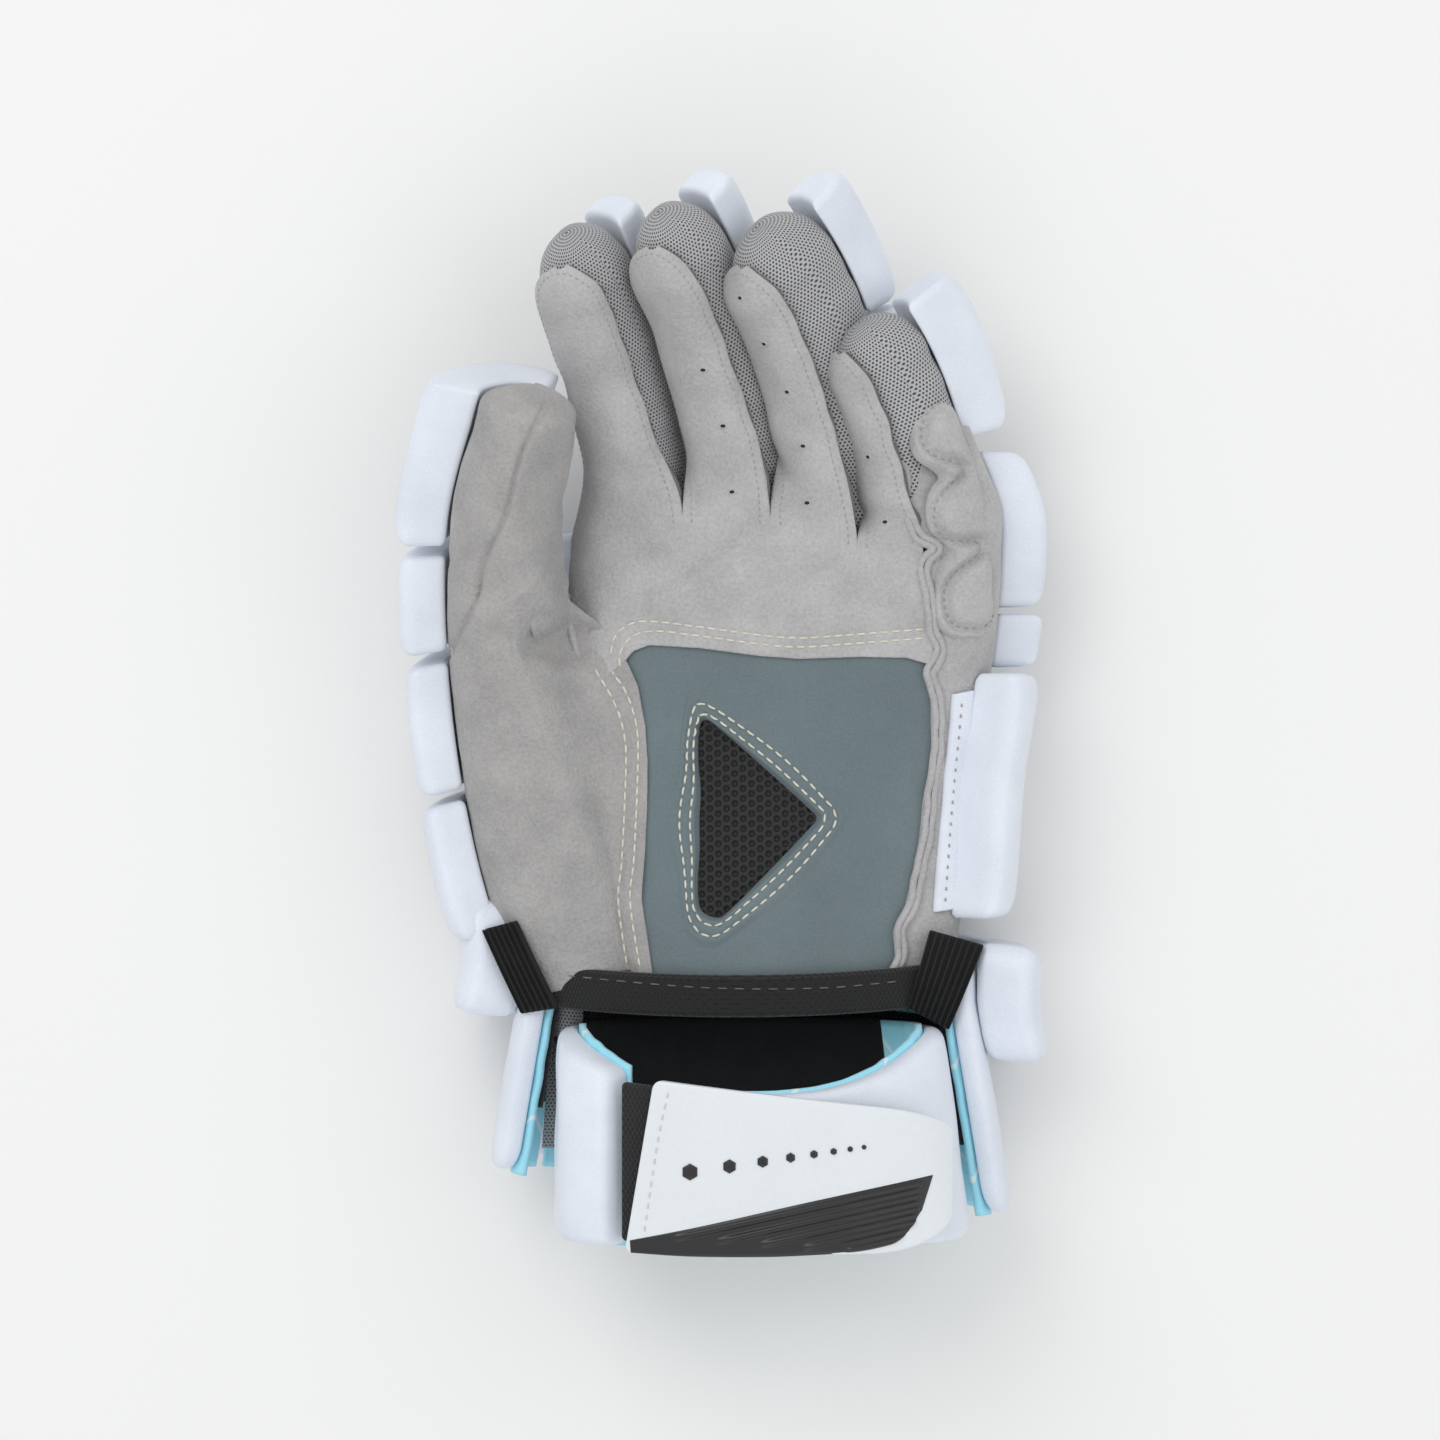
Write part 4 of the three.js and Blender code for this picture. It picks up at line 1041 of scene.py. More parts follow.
def to_pixels(points):
    """Where points show in the photograph: the offset from the camera's axis over the distance."""
    scale = CAMERA_UP / (CAMERA_AT[2] - points[..., 2]) / MM_PER_PIXEL
    x = PHOTO / 2 + (points[..., 0] - CAMERA_AT[0]) * scale
    y = PHOTO / 2 - (points[..., 1] - CAMERA_AT[1]) * scale
    return np.stack([x, y], -1)


def from_pixels(pixels, height=PALM_PLANE):
    """The points at one height that show at pixels."""
    scale = CAMERA_UP / (CAMERA_AT[2] - height) / MM_PER_PIXEL
    pixels = np.asarray(pixels, float)
    x = (pixels[..., 0] - PHOTO / 2) / scale + CAMERA_AT[0]
    y = CAMERA_AT[1] - (pixels[..., 1] - PHOTO / 2) / scale
    return x, y


def hand_angle(x, at):
    """The angle on the hand's front that lies over x: the section's curve turned round."""
    s = hand(at)
    share = np.clip((x - s["centre"][..., 0]) / s["half"] / s["side"][..., 0], -0.995, 0.995)
    return np.arccos(power(share, s["square"] / 2))


def on_palm(x, y, out):
    """A place on the hand's front over (x, y)."""
    along = y / PALM_LENGTH
    return tube_point(hand, along, hand_angle(x, along), out)


def spline(pixels, per=10):
    """A Catmull-Rom curve through points, with its end points doubled."""
    p = np.array(pixels, float)
    p = np.concatenate([p[:1], p, p[-1:]])
    a, b, c, d = (p[i : len(p) - 3 + i, None] for i in range(4))
    t = np.linspace(0, 1, per, endpoint=False)[None, :, None]
    curve = 0.5 * (2 * b + (c - a) * t + (2 * a - 5 * b + 4 * c - d) * t**2 + (3 * b - a - 3 * c + d) * t**3)
    return np.concatenate([curve.reshape(-1, p.shape[1]), p[-1:]])


def evenly(line, step):
    """The points every step along a line."""
    along = np.append(0, np.cumsum(np.linalg.norm(np.diff(line, axis=0), axis=-1)))
    count = max(2, int(round(along[-1] / step)) + 1)
    at = np.linspace(0, along[-1], count)
    return np.stack([np.interp(at, along, line[:, k]) for k in range(line.shape[1])], -1)


def line_distance(pixels, line):
    """How far pixels are from a line of pixels, in millimetres: the least of the distances from
    its pieces, each from the nearest point a + t * (b - a) with t from 0 to 1."""
    a, b = line[:-1], line[1:]
    pixels = pixels[..., None, :]
    t = ((pixels - a) * (b - a)).sum(-1) / np.maximum(((b - a) ** 2).sum(-1), 1e-6)
    t = np.clip(t, 0, 1)[..., None]
    return np.linalg.norm(pixels - a - t * (b - a), axis=-1).min(-1) * MM_PER_PIXEL


def path_distance(points, path):
    """How far points show from a path of pixels."""
    return line_distance(to_pixels(points), evenly(spline(path), 6))


def facing_normals(points):
    """Unit normals of a grid of points, on the side that mostly faces the camera: the cross
    product of its two gradients."""
    normals = unit(np.cross(np.gradient(points, axis=0), np.gradient(points, axis=1)))
    return normals * (1 if normals[..., 2].mean() > 0 else -1)


def groove(distance, depth, width):
    """How deep a groove is at a distance from its line: depth * exp(-(distance / width)^2)."""
    return depth * np.exp(-((distance / width) ** 2))


def pressed(points, creases):
    """Points moved inwards along their normals by creases: (pixels, depth, width) each."""
    normals = facing_normals(points)
    offset = np.zeros(points.shape[:2])
    for pixels, depth, width in creases:
        offset -= groove(path_distance(points, pixels), depth, width)
    return points + normals * offset[..., None]


def on_cloth(points, pixels, lift=0.0):
    """The places on a grid of points that show at pixels, lifted off it, and the normals there:
    the nearest grid point that faces the camera, then one step along the grid's own slopes."""
    shape = (*np.shape(pixels)[:-1], 3)
    pixels = np.asarray(pixels, float).reshape(-1, 2)
    normals = facing_normals(points)
    shown = to_pixels(points)
    hidden = (normals[..., 2] < 0.05).ravel() * 1e6
    nearest = (((pixels[:, None] - shown.reshape(-1, 2)) ** 2).sum(-1) + hidden).argmin(-1)
    i, j = np.unravel_index(nearest, shown.shape[:2])
    down = np.stack([np.gradient(shown, axis=k)[i, j] for k in (0, 1)], -1)
    step = np.clip(np.linalg.solve(down, (pixels - shown[i, j])[..., None])[..., 0], -1.5, 1.5)
    slopes = np.stack([np.gradient(points, axis=k)[i, j] for k in (0, 1)], -1)
    found = points[i, j] + (slopes * step[:, None, :]).sum(-1) + normals[i, j] * lift
    return found.reshape(shape), normals[i, j].reshape(shape)


def row_of_capsules(name, first, last, normal, radius, rise, look, rings=7, sides=6):
    """Threads from first to last, each a capsule that rises by rise * sin(pi t) off the cloth."""
    t = np.linspace(0, 1, rings)[None, :, None]
    line = first[:, None] * (1 - t) + last[:, None] * t + normal[:, None] * rise * np.sin(math.pi * t)
    along = unit(last - first)
    side = unit(np.cross(along, normal))
    up = np.cross(side, along)
    turn = np.linspace(0, 2 * math.pi, sides, endpoint=False)[None, :, None]
    spoke = side[:, None] * np.cos(turn) + up[:, None] * np.sin(turn)
    fat = radius * np.maximum(0.06, 1 - (2 * t - 1) ** 4) ** 0.5
    points = line[:, :, None] + spoke[:, None] * fat[..., None]
    k, i, j = cells(len(first), rings - 1, sides)
    base = (k * rings + i) * sides
    nearby = (j + 1) % sides
    quads = np.stack([base + j, base + nearby, base + sides + nearby, base + sides + j], -1)
    return mesh_object(name, points.reshape(-1, 3), quads, look)


STITCH_PITCH = 3.6
STITCH_LENGTH = 2.8
THREAD_RADIUS = 0.37
cream_thread = grained("cream_thread", (206, 202, 184), (226, 222, 206), 0.8, 200, 3000, 0.3)
grey_thread = grained("grey_thread", (150, 146, 138), (176, 172, 162), 0.8, 200, 3000, 0.3)


def stitches(
    name, cloth, pixels, look=cream_thread, pitch=STITCH_PITCH, length=STITCH_LENGTH, radius=THREAD_RADIUS
):
    """A row of stitches on a grid of points along a path of pixels."""
    line = evenly(spline(pixels), pitch / MM_PER_PIXEL)
    ahead = unit(np.diff(line, axis=0)) * length / MM_PER_PIXEL / 2
    middle = (line[:-1] + line[1:]) / 2
    first, normal = on_cloth(cloth, middle - ahead, -0.12)
    last = on_cloth(cloth, middle + ahead, -0.12)[0]
    made = row_of_capsules(name, first, last, normal, radius, 0.34, look)
    return sew_on(made, None)


def cord(name, line, radius, look, slot, sides=8):
    """A round cord along a line of points, closed by its narrowing ends."""
    along = unit(np.gradient(line, axis=0))
    side = unit(np.cross(along, np.array([0, 0, 1.0])))
    up = np.cross(side, along)
    share = np.linspace(0, 1, len(line))
    fat = radius * np.sqrt(np.maximum(0.02, 1 - np.abs(2 * share - 1) ** (len(line) / 2)))
    turn = np.linspace(0, 2 * math.pi, sides, endpoint=False)[None, :, None]
    points = line[:, None] + (side[:, None] * np.cos(turn) + up[:, None] * np.sin(turn)) * fat[:, None, None]
    core = np.broadcast_to(line[:, None], points.shape)
    return sew_on(surface(name, points, look, core, wraps=True), slot)


thenar_x, thenar_y = from_pixels(THENAR_EDGE, THENAR_PLANE)


def thumb_panel(at, v, out):
    """The thumb's front: round the thumb above the web, and below it from the thumb's outer side
    across onto the palm. Weights w run from the thumb's section to the palm's surface."""
    centre_y = thumb_place(at)[..., 1]
    open_turn = between(*OPEN_TURN, smoothstep(centre_y, WEB_HIGH - 2, WEB_HIGH + 12))
    free = tube_point(thumb, at, np.radians(PANEL_START - open_turn * v), out)
    round_angle = PANEL_START - PANEL_TURN * np.clip(v / 0.88, 0, 1)
    round_ = tube_point(thumb, at, np.radians(round_angle), out)
    left = tube_point(thumb, at, np.radians(PANEL_START + 0 * v), 0)[..., 0]
    edge = np.interp(-centre_y, -thenar_y, thenar_x)
    weight = smoothstep(v, 0.6, 0.92)
    y = between(centre_y, round_[..., 1], 1 - weight)
    flat = on_palm(between(left, edge, v), y, out + PANEL_LIFT * smoothstep(v, 0.6, 1))
    return blended(blended(round_, flat, weight), free, smoothstep(centre_y, WEB_LOW, WEB_HIGH))


THUMB_SEAM = [(547, 406), (532, 434), (520, 460), (504, 520), (485, 556), (477, 595), (462, 628), (448, 655)]
THUMB_FOLD = [(590, 640), (581, 650), (566, 655), (545, 653), (520, 646), (490, 634)]
THUMB_CREASES = [
    (THUMB_SEAM, 1.4, 0.9),
    (THUMB_FOLD, 1.7, 3.0),
    ([(590, 700), (560, 712), (520, 708), (480, 690)], 1.0, 5.0),
    ([(600, 790), (560, 775), (520, 752), (490, 748)], 0.9, 6.0),
    ([(570, 860), (540, 850), (510, 820)], 0.6, 6.0),
    ([(563, 500), (548, 505), (530, 500)], 0.7, 2.6),
    ([(450, 560), (480, 552), (510, 540), (535, 530)], 0.5, 2.6),
]
THENAR_STITCHES = [
    [(605, 655), (612, 672), (625, 690), (636, 722), (638, 762), (634, 859), (630, 900), (640, 968)],
    [(594, 668), (604, 684), (614, 702), (623, 728), (626, 762), (622, 859), (618, 900), (627, 966)],
]
dome = 1 - THUMB_DOME + THUMB_DOME * np.sin(np.linspace(0, math.pi / 2, 14))
at, v = grid(np.append(np.linspace(0.085, 0.9, 230)[:-1], dome), np.linspace(0, 1, 170))
soft = 0.7 * ripples(at * 190, v * 90, 34, 301) + 0.25 * ripples(at * 190, v * 90, 9, 302)
thumb_creases = THUMB_CREASES + [(row, 0.35, 0.9) for row in THENAR_STITCHES]
thumb_cloth = pressed(thumb_panel(at, v, soft), thumb_creases)
warm_suede = grained("warm_suede", (150, 148, 147), (173, 171, 169), 0.95, 75, 1000, 1.0, sheen=0.2)
panel = surface("thumb_panel", thumb_cloth, warm_suede, thumb_cloth - UNDER, thickness=1.6)
sew_on(panel, "suede", "thumb_suede", "thumb_gusset")
for number, row in enumerate(THENAR_STITCHES):
    stitches("thenar_stitches_%d" % number, thumb_cloth, row)
# Its turned back behind the tip, and the web of the same suede from the thumb to the palm.
at, v = grid(np.append(np.linspace(TIP_BACK_ALONG, 0.9, 24)[:-1], dome), np.linspace(0, 1, 70))
tip_back = tube_point(thumb, at, np.radians(between(*TIP_BACK_ANGLES, v)), -0.9)
back = surface("thumb_tip_back", tip_back, warm_suede, thumb(at)["centre"], thickness=1.0)
sew_on(back, "suede")
WEB_FROM = 103.0
WEB_TO = 128.0
WEB_SAG = 7.0
thumb_share = np.linspace(0, 1, 200)
thumb_heights = thumb_place(thumb_share)[..., 1]
y, t = spread((WEB_FROM, WEB_TO, 50), (0, 1, 50))
thumb_at = np.interp(y, thumb_heights, thumb_share)
beside_thumb = tube_point(thumb, thumb_at, np.radians(WEB_ANGLES[0]), -0.4)
beside_palm = tube_point(hand, y / PALM_LENGTH, np.radians(WEB_ANGLES[1]), -1.5)
web_cloth = blended(beside_thumb, beside_palm, t)
hollow = WEB_SAG * np.sin(math.pi * t) * smoothstep(y, WEB_FROM, WEB_TO)
web_cloth[..., 2] -= hollow + 0.5 * ripples(y, t * 20, 9, 340)
web_cloth[..., 1] -= hollow
web = surface("thumb_web", web_cloth, warm_suede, web_cloth - UNDER, thickness=1.4)
sew_on(web, "suede")

# The patch: grey-teal synthetic leather over the middle of the palm, round a black mesh vent. A
# raised rim with two rows of cream stitches goes round the vent.
VENT_LOOP = [(699, 724), (704, 720), (712, 721), (816, 812), (820, 818), (816, 825), (726, 915)]
VENT_LOOP += [(716, 919), (702, 914), (697, 906), (696, 880), (699, 850), (698, 820), (701, 790), (697, 760)]
VENT_MIDDLE = (735.0, 820.0)
PATCH_OUTLINE = [(930, 640), (929, 655), (934, 673), (938, 707), (936, 753), (926, 830), (911, 906)]
PATCH_OUTLINE += [(899, 957), (890, 990), (776, 992), (650, 988), (640, 980), (636, 900), (640, 859)]
PATCH_OUTLINE += [(643, 762), (641, 726), (632, 692), (625, 640)]
RIM = 10.0
VENT_ROWS = (2.6, 5.9)


def rounded(loop, times=3):
    """A closed line with its corners cut off a few times, a quarter from each end."""
    loop = np.array(loop, float)
    for _ in range(times):
        after = np.roll(loop, -1, axis=0)
        loop = np.stack([loop * 0.75 + after * 0.25, loop * 0.25 + after * 0.75], 1).reshape(-1, 2)
    return loop


def reach_of(loop, turn):
    """How far a closed line is from the vent's middle in each direction."""
    offset = evenly(np.concatenate([loop, loop[:1]]), 1.0) - VENT_MIDDLE
    direction = np.arctan2(offset[:, 1], offset[:, 0])
    order = np.argsort(direction)
    distance = np.linalg.norm(offset, axis=-1)[order]
    return np.interp(turn, direction[order], distance, period=2 * math.pi)


def round_vent(reach):
    """The pixels at a reach from the vent's middle in each direction."""
    return np.stack([VENT_MIDDLE[0] + reach * np.cos(turn), VENT_MIDDLE[1] + reach * np.sin(turn)], -1)


turn = np.linspace(-math.pi, math.pi, 361)[:-1]
inner = reach_of(rounded(VENT_LOOP), turn)
outer = reach_of(np.array(PATCH_OUTLINE, float), turn)
rim_steps = np.linspace(0, RIM, 26) / MM_PER_PIXEL
rest = np.linspace(0, 1, 46)[1:, None]
beyond = (inner + rim_steps[-1]) * (1 - rest) + outer * rest
reach = np.concatenate([inner + rim_steps[:, None], beyond])
x, y = from_pixels(round_vent(reach))
from_vent = (reach - inner) * MM_PER_PIXEL
turned_in = -1.9 * (1 - smoothstep(from_vent, 0, 1.2))
ridge = 0.7 * smoothstep(from_vent, 0.4, 1.6) * (1 - smoothstep(from_vent, 6.5, 10))
furrows = sum(groove(from_vent - distance, 0.4, 0.7) for distance in VENT_ROWS)
waver = 0.5 * ripples(x, y, 30, 311) + 0.12 * ripples(x, y, 7, 312)
patch_cloth = on_palm(x, y, -0.2 + turned_in + ridge - furrows + waver)
teal = grained("teal_patch", (96, 110, 114), (110, 124, 128), 0.75, 30, 1500, 0.3, sheen=0.1)
patch = surface("palm_patch", patch_cloth, teal, patch_cloth - UNDER, wraps=True, thickness=1.4)
sew_on(patch, "patch", "palm_patch")
for number, distance in enumerate(VENT_ROWS):
    ring = round_vent(inner + distance / MM_PER_PIXEL)
    stitches("vent_stitches_%d" % number, patch_cloth, np.concatenate([ring, ring[:1]])[::8])

# The vent's mesh: black open net laid in under the patch, whose rim is sewn over its edges.
# Three crossed waves, cut off above and below, are its threads and holes.
vent_black = plain("vent_black", (20, 20, 21), 0.6, 0.1)
VENT_PITCH = 3.1
VENT_WAVES = 2 * math.pi * HONEYCOMB / VENT_PITCH
VENT_ACROSS = (-13.5, 28.5)
VENT_ALONG = (17, 84)
VENT_DEEP = 2.6
THREAD_HEIGHT = 0.42
x, y = spread((*VENT_ACROSS, 150), (*VENT_ALONG, 230))
turns = (0, math.pi / 3, -math.pi / 3)
beat = sum(np.cos((x * math.cos(a) + y * math.sin(a)) * VENT_WAVES) for a in turns)
vent_cloth = on_palm(x, y, THREAD_HEIGHT * np.clip(0.6 - beat, -1.2, 1.2) - VENT_DEEP)
vent = surface("vent_mesh", vent_cloth, vent_black, vent_cloth - UNDER, thickness=0.6)
sew_on(vent, "knit", "vent_mesh")

# The palm and the fingers' front strips: one sheet of grey suede cut into four strips with
# round ends, slit down to the knuckles. Its cut edges are raw and a little wavy, and its lower
# edge is sewn over the patch with two rows of cream stitches.
PALM_ROWS = 64
PALM_COLUMNS = 64
STRIP_END = 0.965
STRIP_SQUARE_END = 0.78
STRIP_HALF = 55.0
STRIP_TOP_HALF = 47.0
STRIP_MIDDLE = 95.0
STRIP_LIFT = 3.1
PALM_LEFT_ANGLE = 172.0
# Pixels: where the slits between the strips end, with the palm's two sides, and its lower edge.
SLIT_ENDS = [(578, 545), (692, 518), (778, 520), (862, 545), (925, 540)]
SEAM_PLACES = [(604, 650), (690, 650), (775, 650), (860, 650), (936, 650)]
PALM_EDGE = [(560, 680), (600, 680), (616, 674), (628, 662), (636, 651), (650, 645), (700, 648), (760, 656)]
PALM_EDGE += [(800, 659), (860, 657), (905, 658), (925, 664), (950, 668)]
PALM_FOLDS = [
    ([(655, 600), (690, 583), (725, 560), (765, 522)], -0.9, 3.0),
    ([(640, 588), (680, 568), (715, 545), (748, 512)], 0.7, 3.0),
    ([(600, 640), (660, 612), (700, 590)], -0.6, 3.5),
    ([(702, 506), (730, 497), (758, 480)], -0.7, 2.6),
    ([(700, 492), (730, 480)], 0.4, 2.6),
    ([(795, 640), (840, 620), (900, 628)], -0.35, 5.0),
    ([(610, 470), (640, 480), (665, 478)], 0.5, 4.0),
    ([(600, 430), (630, 440), (650, 434)], 0.4, 4.0),
    ([(740, 420), (760, 410), (770, 396)], 0.4, 4.0),
]
PALM_STITCHES = [
    [(611, 655), (613, 640), (622, 628), (645, 621), (700, 627), (760, 635)],
    [(620, 668), (620, 652), (632, 636), (655, 631), (700, 636), (760, 644)],
]
PALM_STITCHES[0] += [(800, 638), (860, 634), (925, 629)]
PALM_STITCHES[1] += [(800, 647), (860, 643), (925, 638)]
VENTS = [
    (740, 298), (764, 344), (787, 392), (803, 446), (807, 503),
    (703, 370), (723, 426), (732, 492), (868, 457), (885, 522),
]
STRIP_PLANE = 52.0
edge_x, edge_y = from_pixels(PALM_EDGE, STRIP_PLANE)


def palm_lines(pixels):
    """Pixels as places on the hand's front: the share along and the angle round."""
    x, y = from_pixels(pixels, STRIP_PLANE)
    along = y / PALM_LENGTH
    return along, hand_angle(x, along)


slit_at, slit_angle = palm_lines(SLIT_ENDS)
seam_at, seam_angle = palm_lines(SEAM_PLACES)
slit_angle[0] = seam_angle[0] = math.radians(PALM_LEFT_ANGLE)


def strip_cloth(number, name):
    """A strip with its share of the palm: share -1 to 0 up the palm, then 0 to the tip on the
    finger. The palm's form and the finger's mix over the first quarter of the finger."""
    tube, size = finger(name)
    below = np.linspace(-1, 0, PALM_ROWS)[:-1]
    above = STRIP_END * np.sin(np.linspace(0, math.pi / 2, 130)) ** 0.9
    share, across = grid(np.append(below, above), np.linspace(0, 1, PALM_COLUMNS))
    rising = np.clip(share + 1, 0, 1)
    low_angle = between(*seam_angle[number : number + 2], across)
    high_angle = between(*slit_angle[number : number + 2], across)
    low_x = tube_point(hand, seam_at.mean() + 0 * across, low_angle)[..., 0]
    low_at = np.interp(low_x, edge_x, edge_y) / PALM_LENGTH
    high_at = between(*slit_at[number : number + 2], across)
    u = np.maximum(share, 0)
    at = between(low_at, high_at, rising) + u * size["length"] / PALM_LENGTH
    y, round_palm = at * PALM_LENGTH, low_angle * 60
    puff = 0.9 * ripples(y, round_palm, 46, 5) + 0.2 * ripples(y, round_palm, 11, 6)
    angle = between(low_angle, high_angle, rising)
    on_hand = tube_point(hand, at, angle, PANEL_LIFT + puff)
    end = np.maximum(0, u - STRIP_SQUARE_END) / (STRIP_END + 0.004 - STRIP_SQUARE_END)
    narrow = np.sqrt(1 - end**3)
    waver = 2.6 * ripples(u * size["length"], across * 3, 15, 60 + number) * smoothstep(u, 0, 0.2)
    half = between(STRIP_HALF, STRIP_TOP_HALF, smoothstep(u, 0.05, 0.5))
    aside = 2 * across - 1
    turn = STRIP_MIDDLE - aside * (half + waver) * narrow - size["twist"] * u
    crown_out = 1.1 * (1 - aside**4) * smoothstep(u, 0.05, 0.3)
    dimple = 0.8 * ripples(u * size["length"], across * 22, 26, 80 + number)
    on_finger = tube_point(tube, u, np.radians(turn), STRIP_LIFT + crown_out + dimple)
    return blended(on_hand, on_finger, smoothstep(share, 0.0, 0.24))


def grid_line(points, i, j):
    """Points between a grid's own, at fractional rows i and columns j."""
    row = np.clip(i.astype(int), 0, points.shape[0] - 2)
    column_ = np.clip(j.astype(int), 0, points.shape[1] - 2)
    first = blended(points[row, column_], points[row, column_ + 1], j - column_)
    second = blended(points[row + 1, column_], points[row + 1, column_ + 1], j - column_)
    return blended(first, second, i - row)


def joined(name, grids, look, thickness):
    """Grids of points as one mesh, their equal points made one."""
    points, faces, start = [], [], 0
    for cloth in grids:
        rows, columns = cloth.shape[:2]
        i, j = cells(rows - 1, columns - 1)
        corner = start + i * columns + j
        faces.append(np.stack([corner, corner + 1, corner + columns + 1, corner + columns], -1))
        points.append(cloth.reshape(-1, 3))
        start += rows * columns
    points = np.concatenate(points)
    index, inverse = np.unique(np.round(points, 3), axis=0, return_index=True, return_inverse=True)[1:]
    points = points[index]
    faces = inverse.ravel()[np.concatenate(faces)]
    a, b, c, d = (points[faces[:, k]] for k in range(4))
    if np.cross(c - a, d - b)[:, 2].sum() < 0:
        faces = faces[:, ::-1]
    piece = mesh_object(name, points, faces, look)
    walled(piece, thickness)
    return piece


strips = {name: strip_cloth(number, name) for number, name in enumerate(FINGERS)}
furrows = PALM_FOLDS + [(row, 0.35, 0.9) for row in PALM_STITCHES]
whole = pressed(np.concatenate(list(strips.values()), axis=1), furrows)
parts = np.split(whole, len(strips), axis=1)
for left, right in zip(parts[:-1], parts[1:]):
    middle = (left[:PALM_ROWS, -1] + right[:PALM_ROWS, 0]) / 2
    left[:PALM_ROWS, -1] = middle
    right[:PALM_ROWS, 0] = middle
strips = dict(zip(strips, parts))
palm = joined("palm", parts, suede, 1.6)
sew_on(palm, "suede", "palm_suede")
palm_cloth = np.concatenate(parts, axis=1)
for number, row in enumerate(PALM_STITCHES):
    stitches("palm_stitches_%d" % number, palm_cloth[: PALM_ROWS + 26], row)

# Along the strips: small grey stitches beside the cut edges, a dark grey cord of painted shade
# under the right edge, where the strip shades the sleeve below, and ten punched vents in the palm.
STITCH_INSET = 2.9
STITCH_END_ROWS = 9
STITCH_ROWS = slice(60, -22)
PIPING_ROWS = slice(66, -6, 2)
# A dark grey: painted shade in the cord under each strip's right edge and in the raised seam's groove, and
# the real thread of the hem's stitches.
piping_grey = grained("piping_grey", (92, 91, 90), (118, 116, 114), 0.9, 120, 2400, 0.4)
hole_black = plain("hole_black", (38, 36, 36), 0.9)


def inset_columns(cloth, inset):
    """For each row, the fractional columns that lie an inset in from its two edges."""
    gaps = np.linalg.norm(np.diff(cloth, axis=1), axis=-1)
    along = np.concatenate([np.zeros((len(cloth), 1)), np.cumsum(gaps, axis=1)], axis=1)
    left = (along < inset).sum(1) - 1 + 0.5
    right = (along < along[:, -1:] - inset).sum(1) - 0.5
    return left, right


def stitch_line(name, cloth, rows, columns, look, pitch, length, radius, rise=0.2):
    """Stitches along a line of grid places."""
    line = grid_line(cloth, rows, columns)
    normal = grid_line(facing_normals(cloth), rows, columns)
    both = evenly(np.concatenate([line, normal * 1e-3], axis=1), pitch)
    line, normal = both[:, :3], unit(both[:, 3:])
    ahead = unit(np.diff(line, axis=0)) * length / 2
    up = normal[:-1]
    middle = (line[:-1] + line[1:]) / 2 - 0.12 * up
    made = row_of_capsules(name, middle - ahead, middle + ahead, up, radius, rise, look)
    return sew_on(made, None)


for name, cloth in strips.items():
    left, right = inset_columns(cloth, STITCH_INSET)
    rows = np.arange(len(cloth)).astype(float)[STITCH_ROWS]
    left, right = (
        np.convolve(np.pad(line, 4, mode="edge"), np.ones(9) / 9, "valid")[STITCH_ROWS]
        for line in (left, right)
    )
    top = np.linspace(math.pi, 0, 24)[1:-1]
    middle, half = (left[-1] + right[-1]) / 2, (right[-1] - left[-1]) / 2
    over_rows = rows[-1] + np.sin(top) * STITCH_END_ROWS
    over_columns = middle + np.cos(top) * half
    path_rows = np.concatenate([rows, over_rows, rows[::-1]])
    path_columns = np.concatenate([left, over_columns, right[::-1]])
    stitch_line("strip_stitches_" + name, cloth, path_rows, path_columns, grey_thread, 2.1, 1.5, 0.17)
    # Under each strip's right edge: a dark cord of painted shade, where the strip's edge shades the sleeve
    # below.
    right_edge = cloth[PIPING_ROWS, -1] - facing_normals(cloth)[PIPING_ROWS, -2] * 0.9
    wobble = 0.35 * np.sin(np.arange(len(right_edge)) * 0.8)[:, None] * [1.0, 0.3, 0]
    cord("piping_" + name, right_edge + wobble, 0.75, piping_grey, "suede")

VENT_HALF = (1.25, 0.8)
vent_places, vent_normals = on_cloth(palm_cloth, VENTS, 0.06)
rim_radius = np.array([0.6, 0.72, 0.9, 1.1, 1.25])
rim_lift = np.array([-0.1, 0.16, 0.22, 0.12, -0.12])
for number, (centre, normal) in enumerate(zip(vent_places, vent_normals)):
    side = unit(np.cross(normal, [0, 1.0, 0]))
    up = np.cross(normal, side)
    turn = np.linspace(0, 2 * math.pi, 20, endpoint=False)[None, :, None]
    spoke = side * np.cos(turn) * VENT_HALF[0] + up * np.sin(turn) * VENT_HALF[1]
    rim = centre + spoke * rim_radius[:, None, None] + normal * rim_lift[:, None, None]
    sew_on(surface("vent_rim_%d" % number, rim, suede, rim - normal, wraps=True), "suede")
    dark = centre + spoke * np.array([0.02, 0.75])[:, None, None] + normal * 0.04
    sew_on(surface("vent_hole_%d" % number, dark, hole_black, dark - normal, wraps=True), None)

# The side of the hand: a suede panel from the palm's raised seam round to the side roll, and on
# it a quilted pad of the same suede in three lobes, sewn down along a grey line of stitches.
RAISED_SEAM = [(889, 444), (900, 460), (909, 478), (907, 500), (914, 520), (923, 538), (940, 549)]
RAISED_SEAM += [(930, 560), (927, 574), (932, 600), (934, 630), (941, 648), (936, 662), (930, 674)]
RAISED_SEAM += [(935, 690), (938, 712), (936, 753), (930, 790), (926, 830), (918, 868), (910, 906)]
RAISED_SEAM += [(898, 930), (899, 957), (888, 980)]
SIDE_RIGHT_ANGLE = -6.0
LIP_PLANE = 51.0
LIP_RIGHT = 70
LIPS = ((-3.2, 1.2), (3.0, 1.0))
seam_x, seam_y = from_pixels(spline(RAISED_SEAM))
order = np.argsort(seam_y)
y, v = spread((-4, 172, 240), (0, 1, 90))
start_angle = hand_angle(np.interp(y, seam_y[order], seam_x[order]) - 1.5, y / PALM_LENGTH)
angle = between(start_angle, math.radians(SIDE_RIGHT_ANGLE), v)
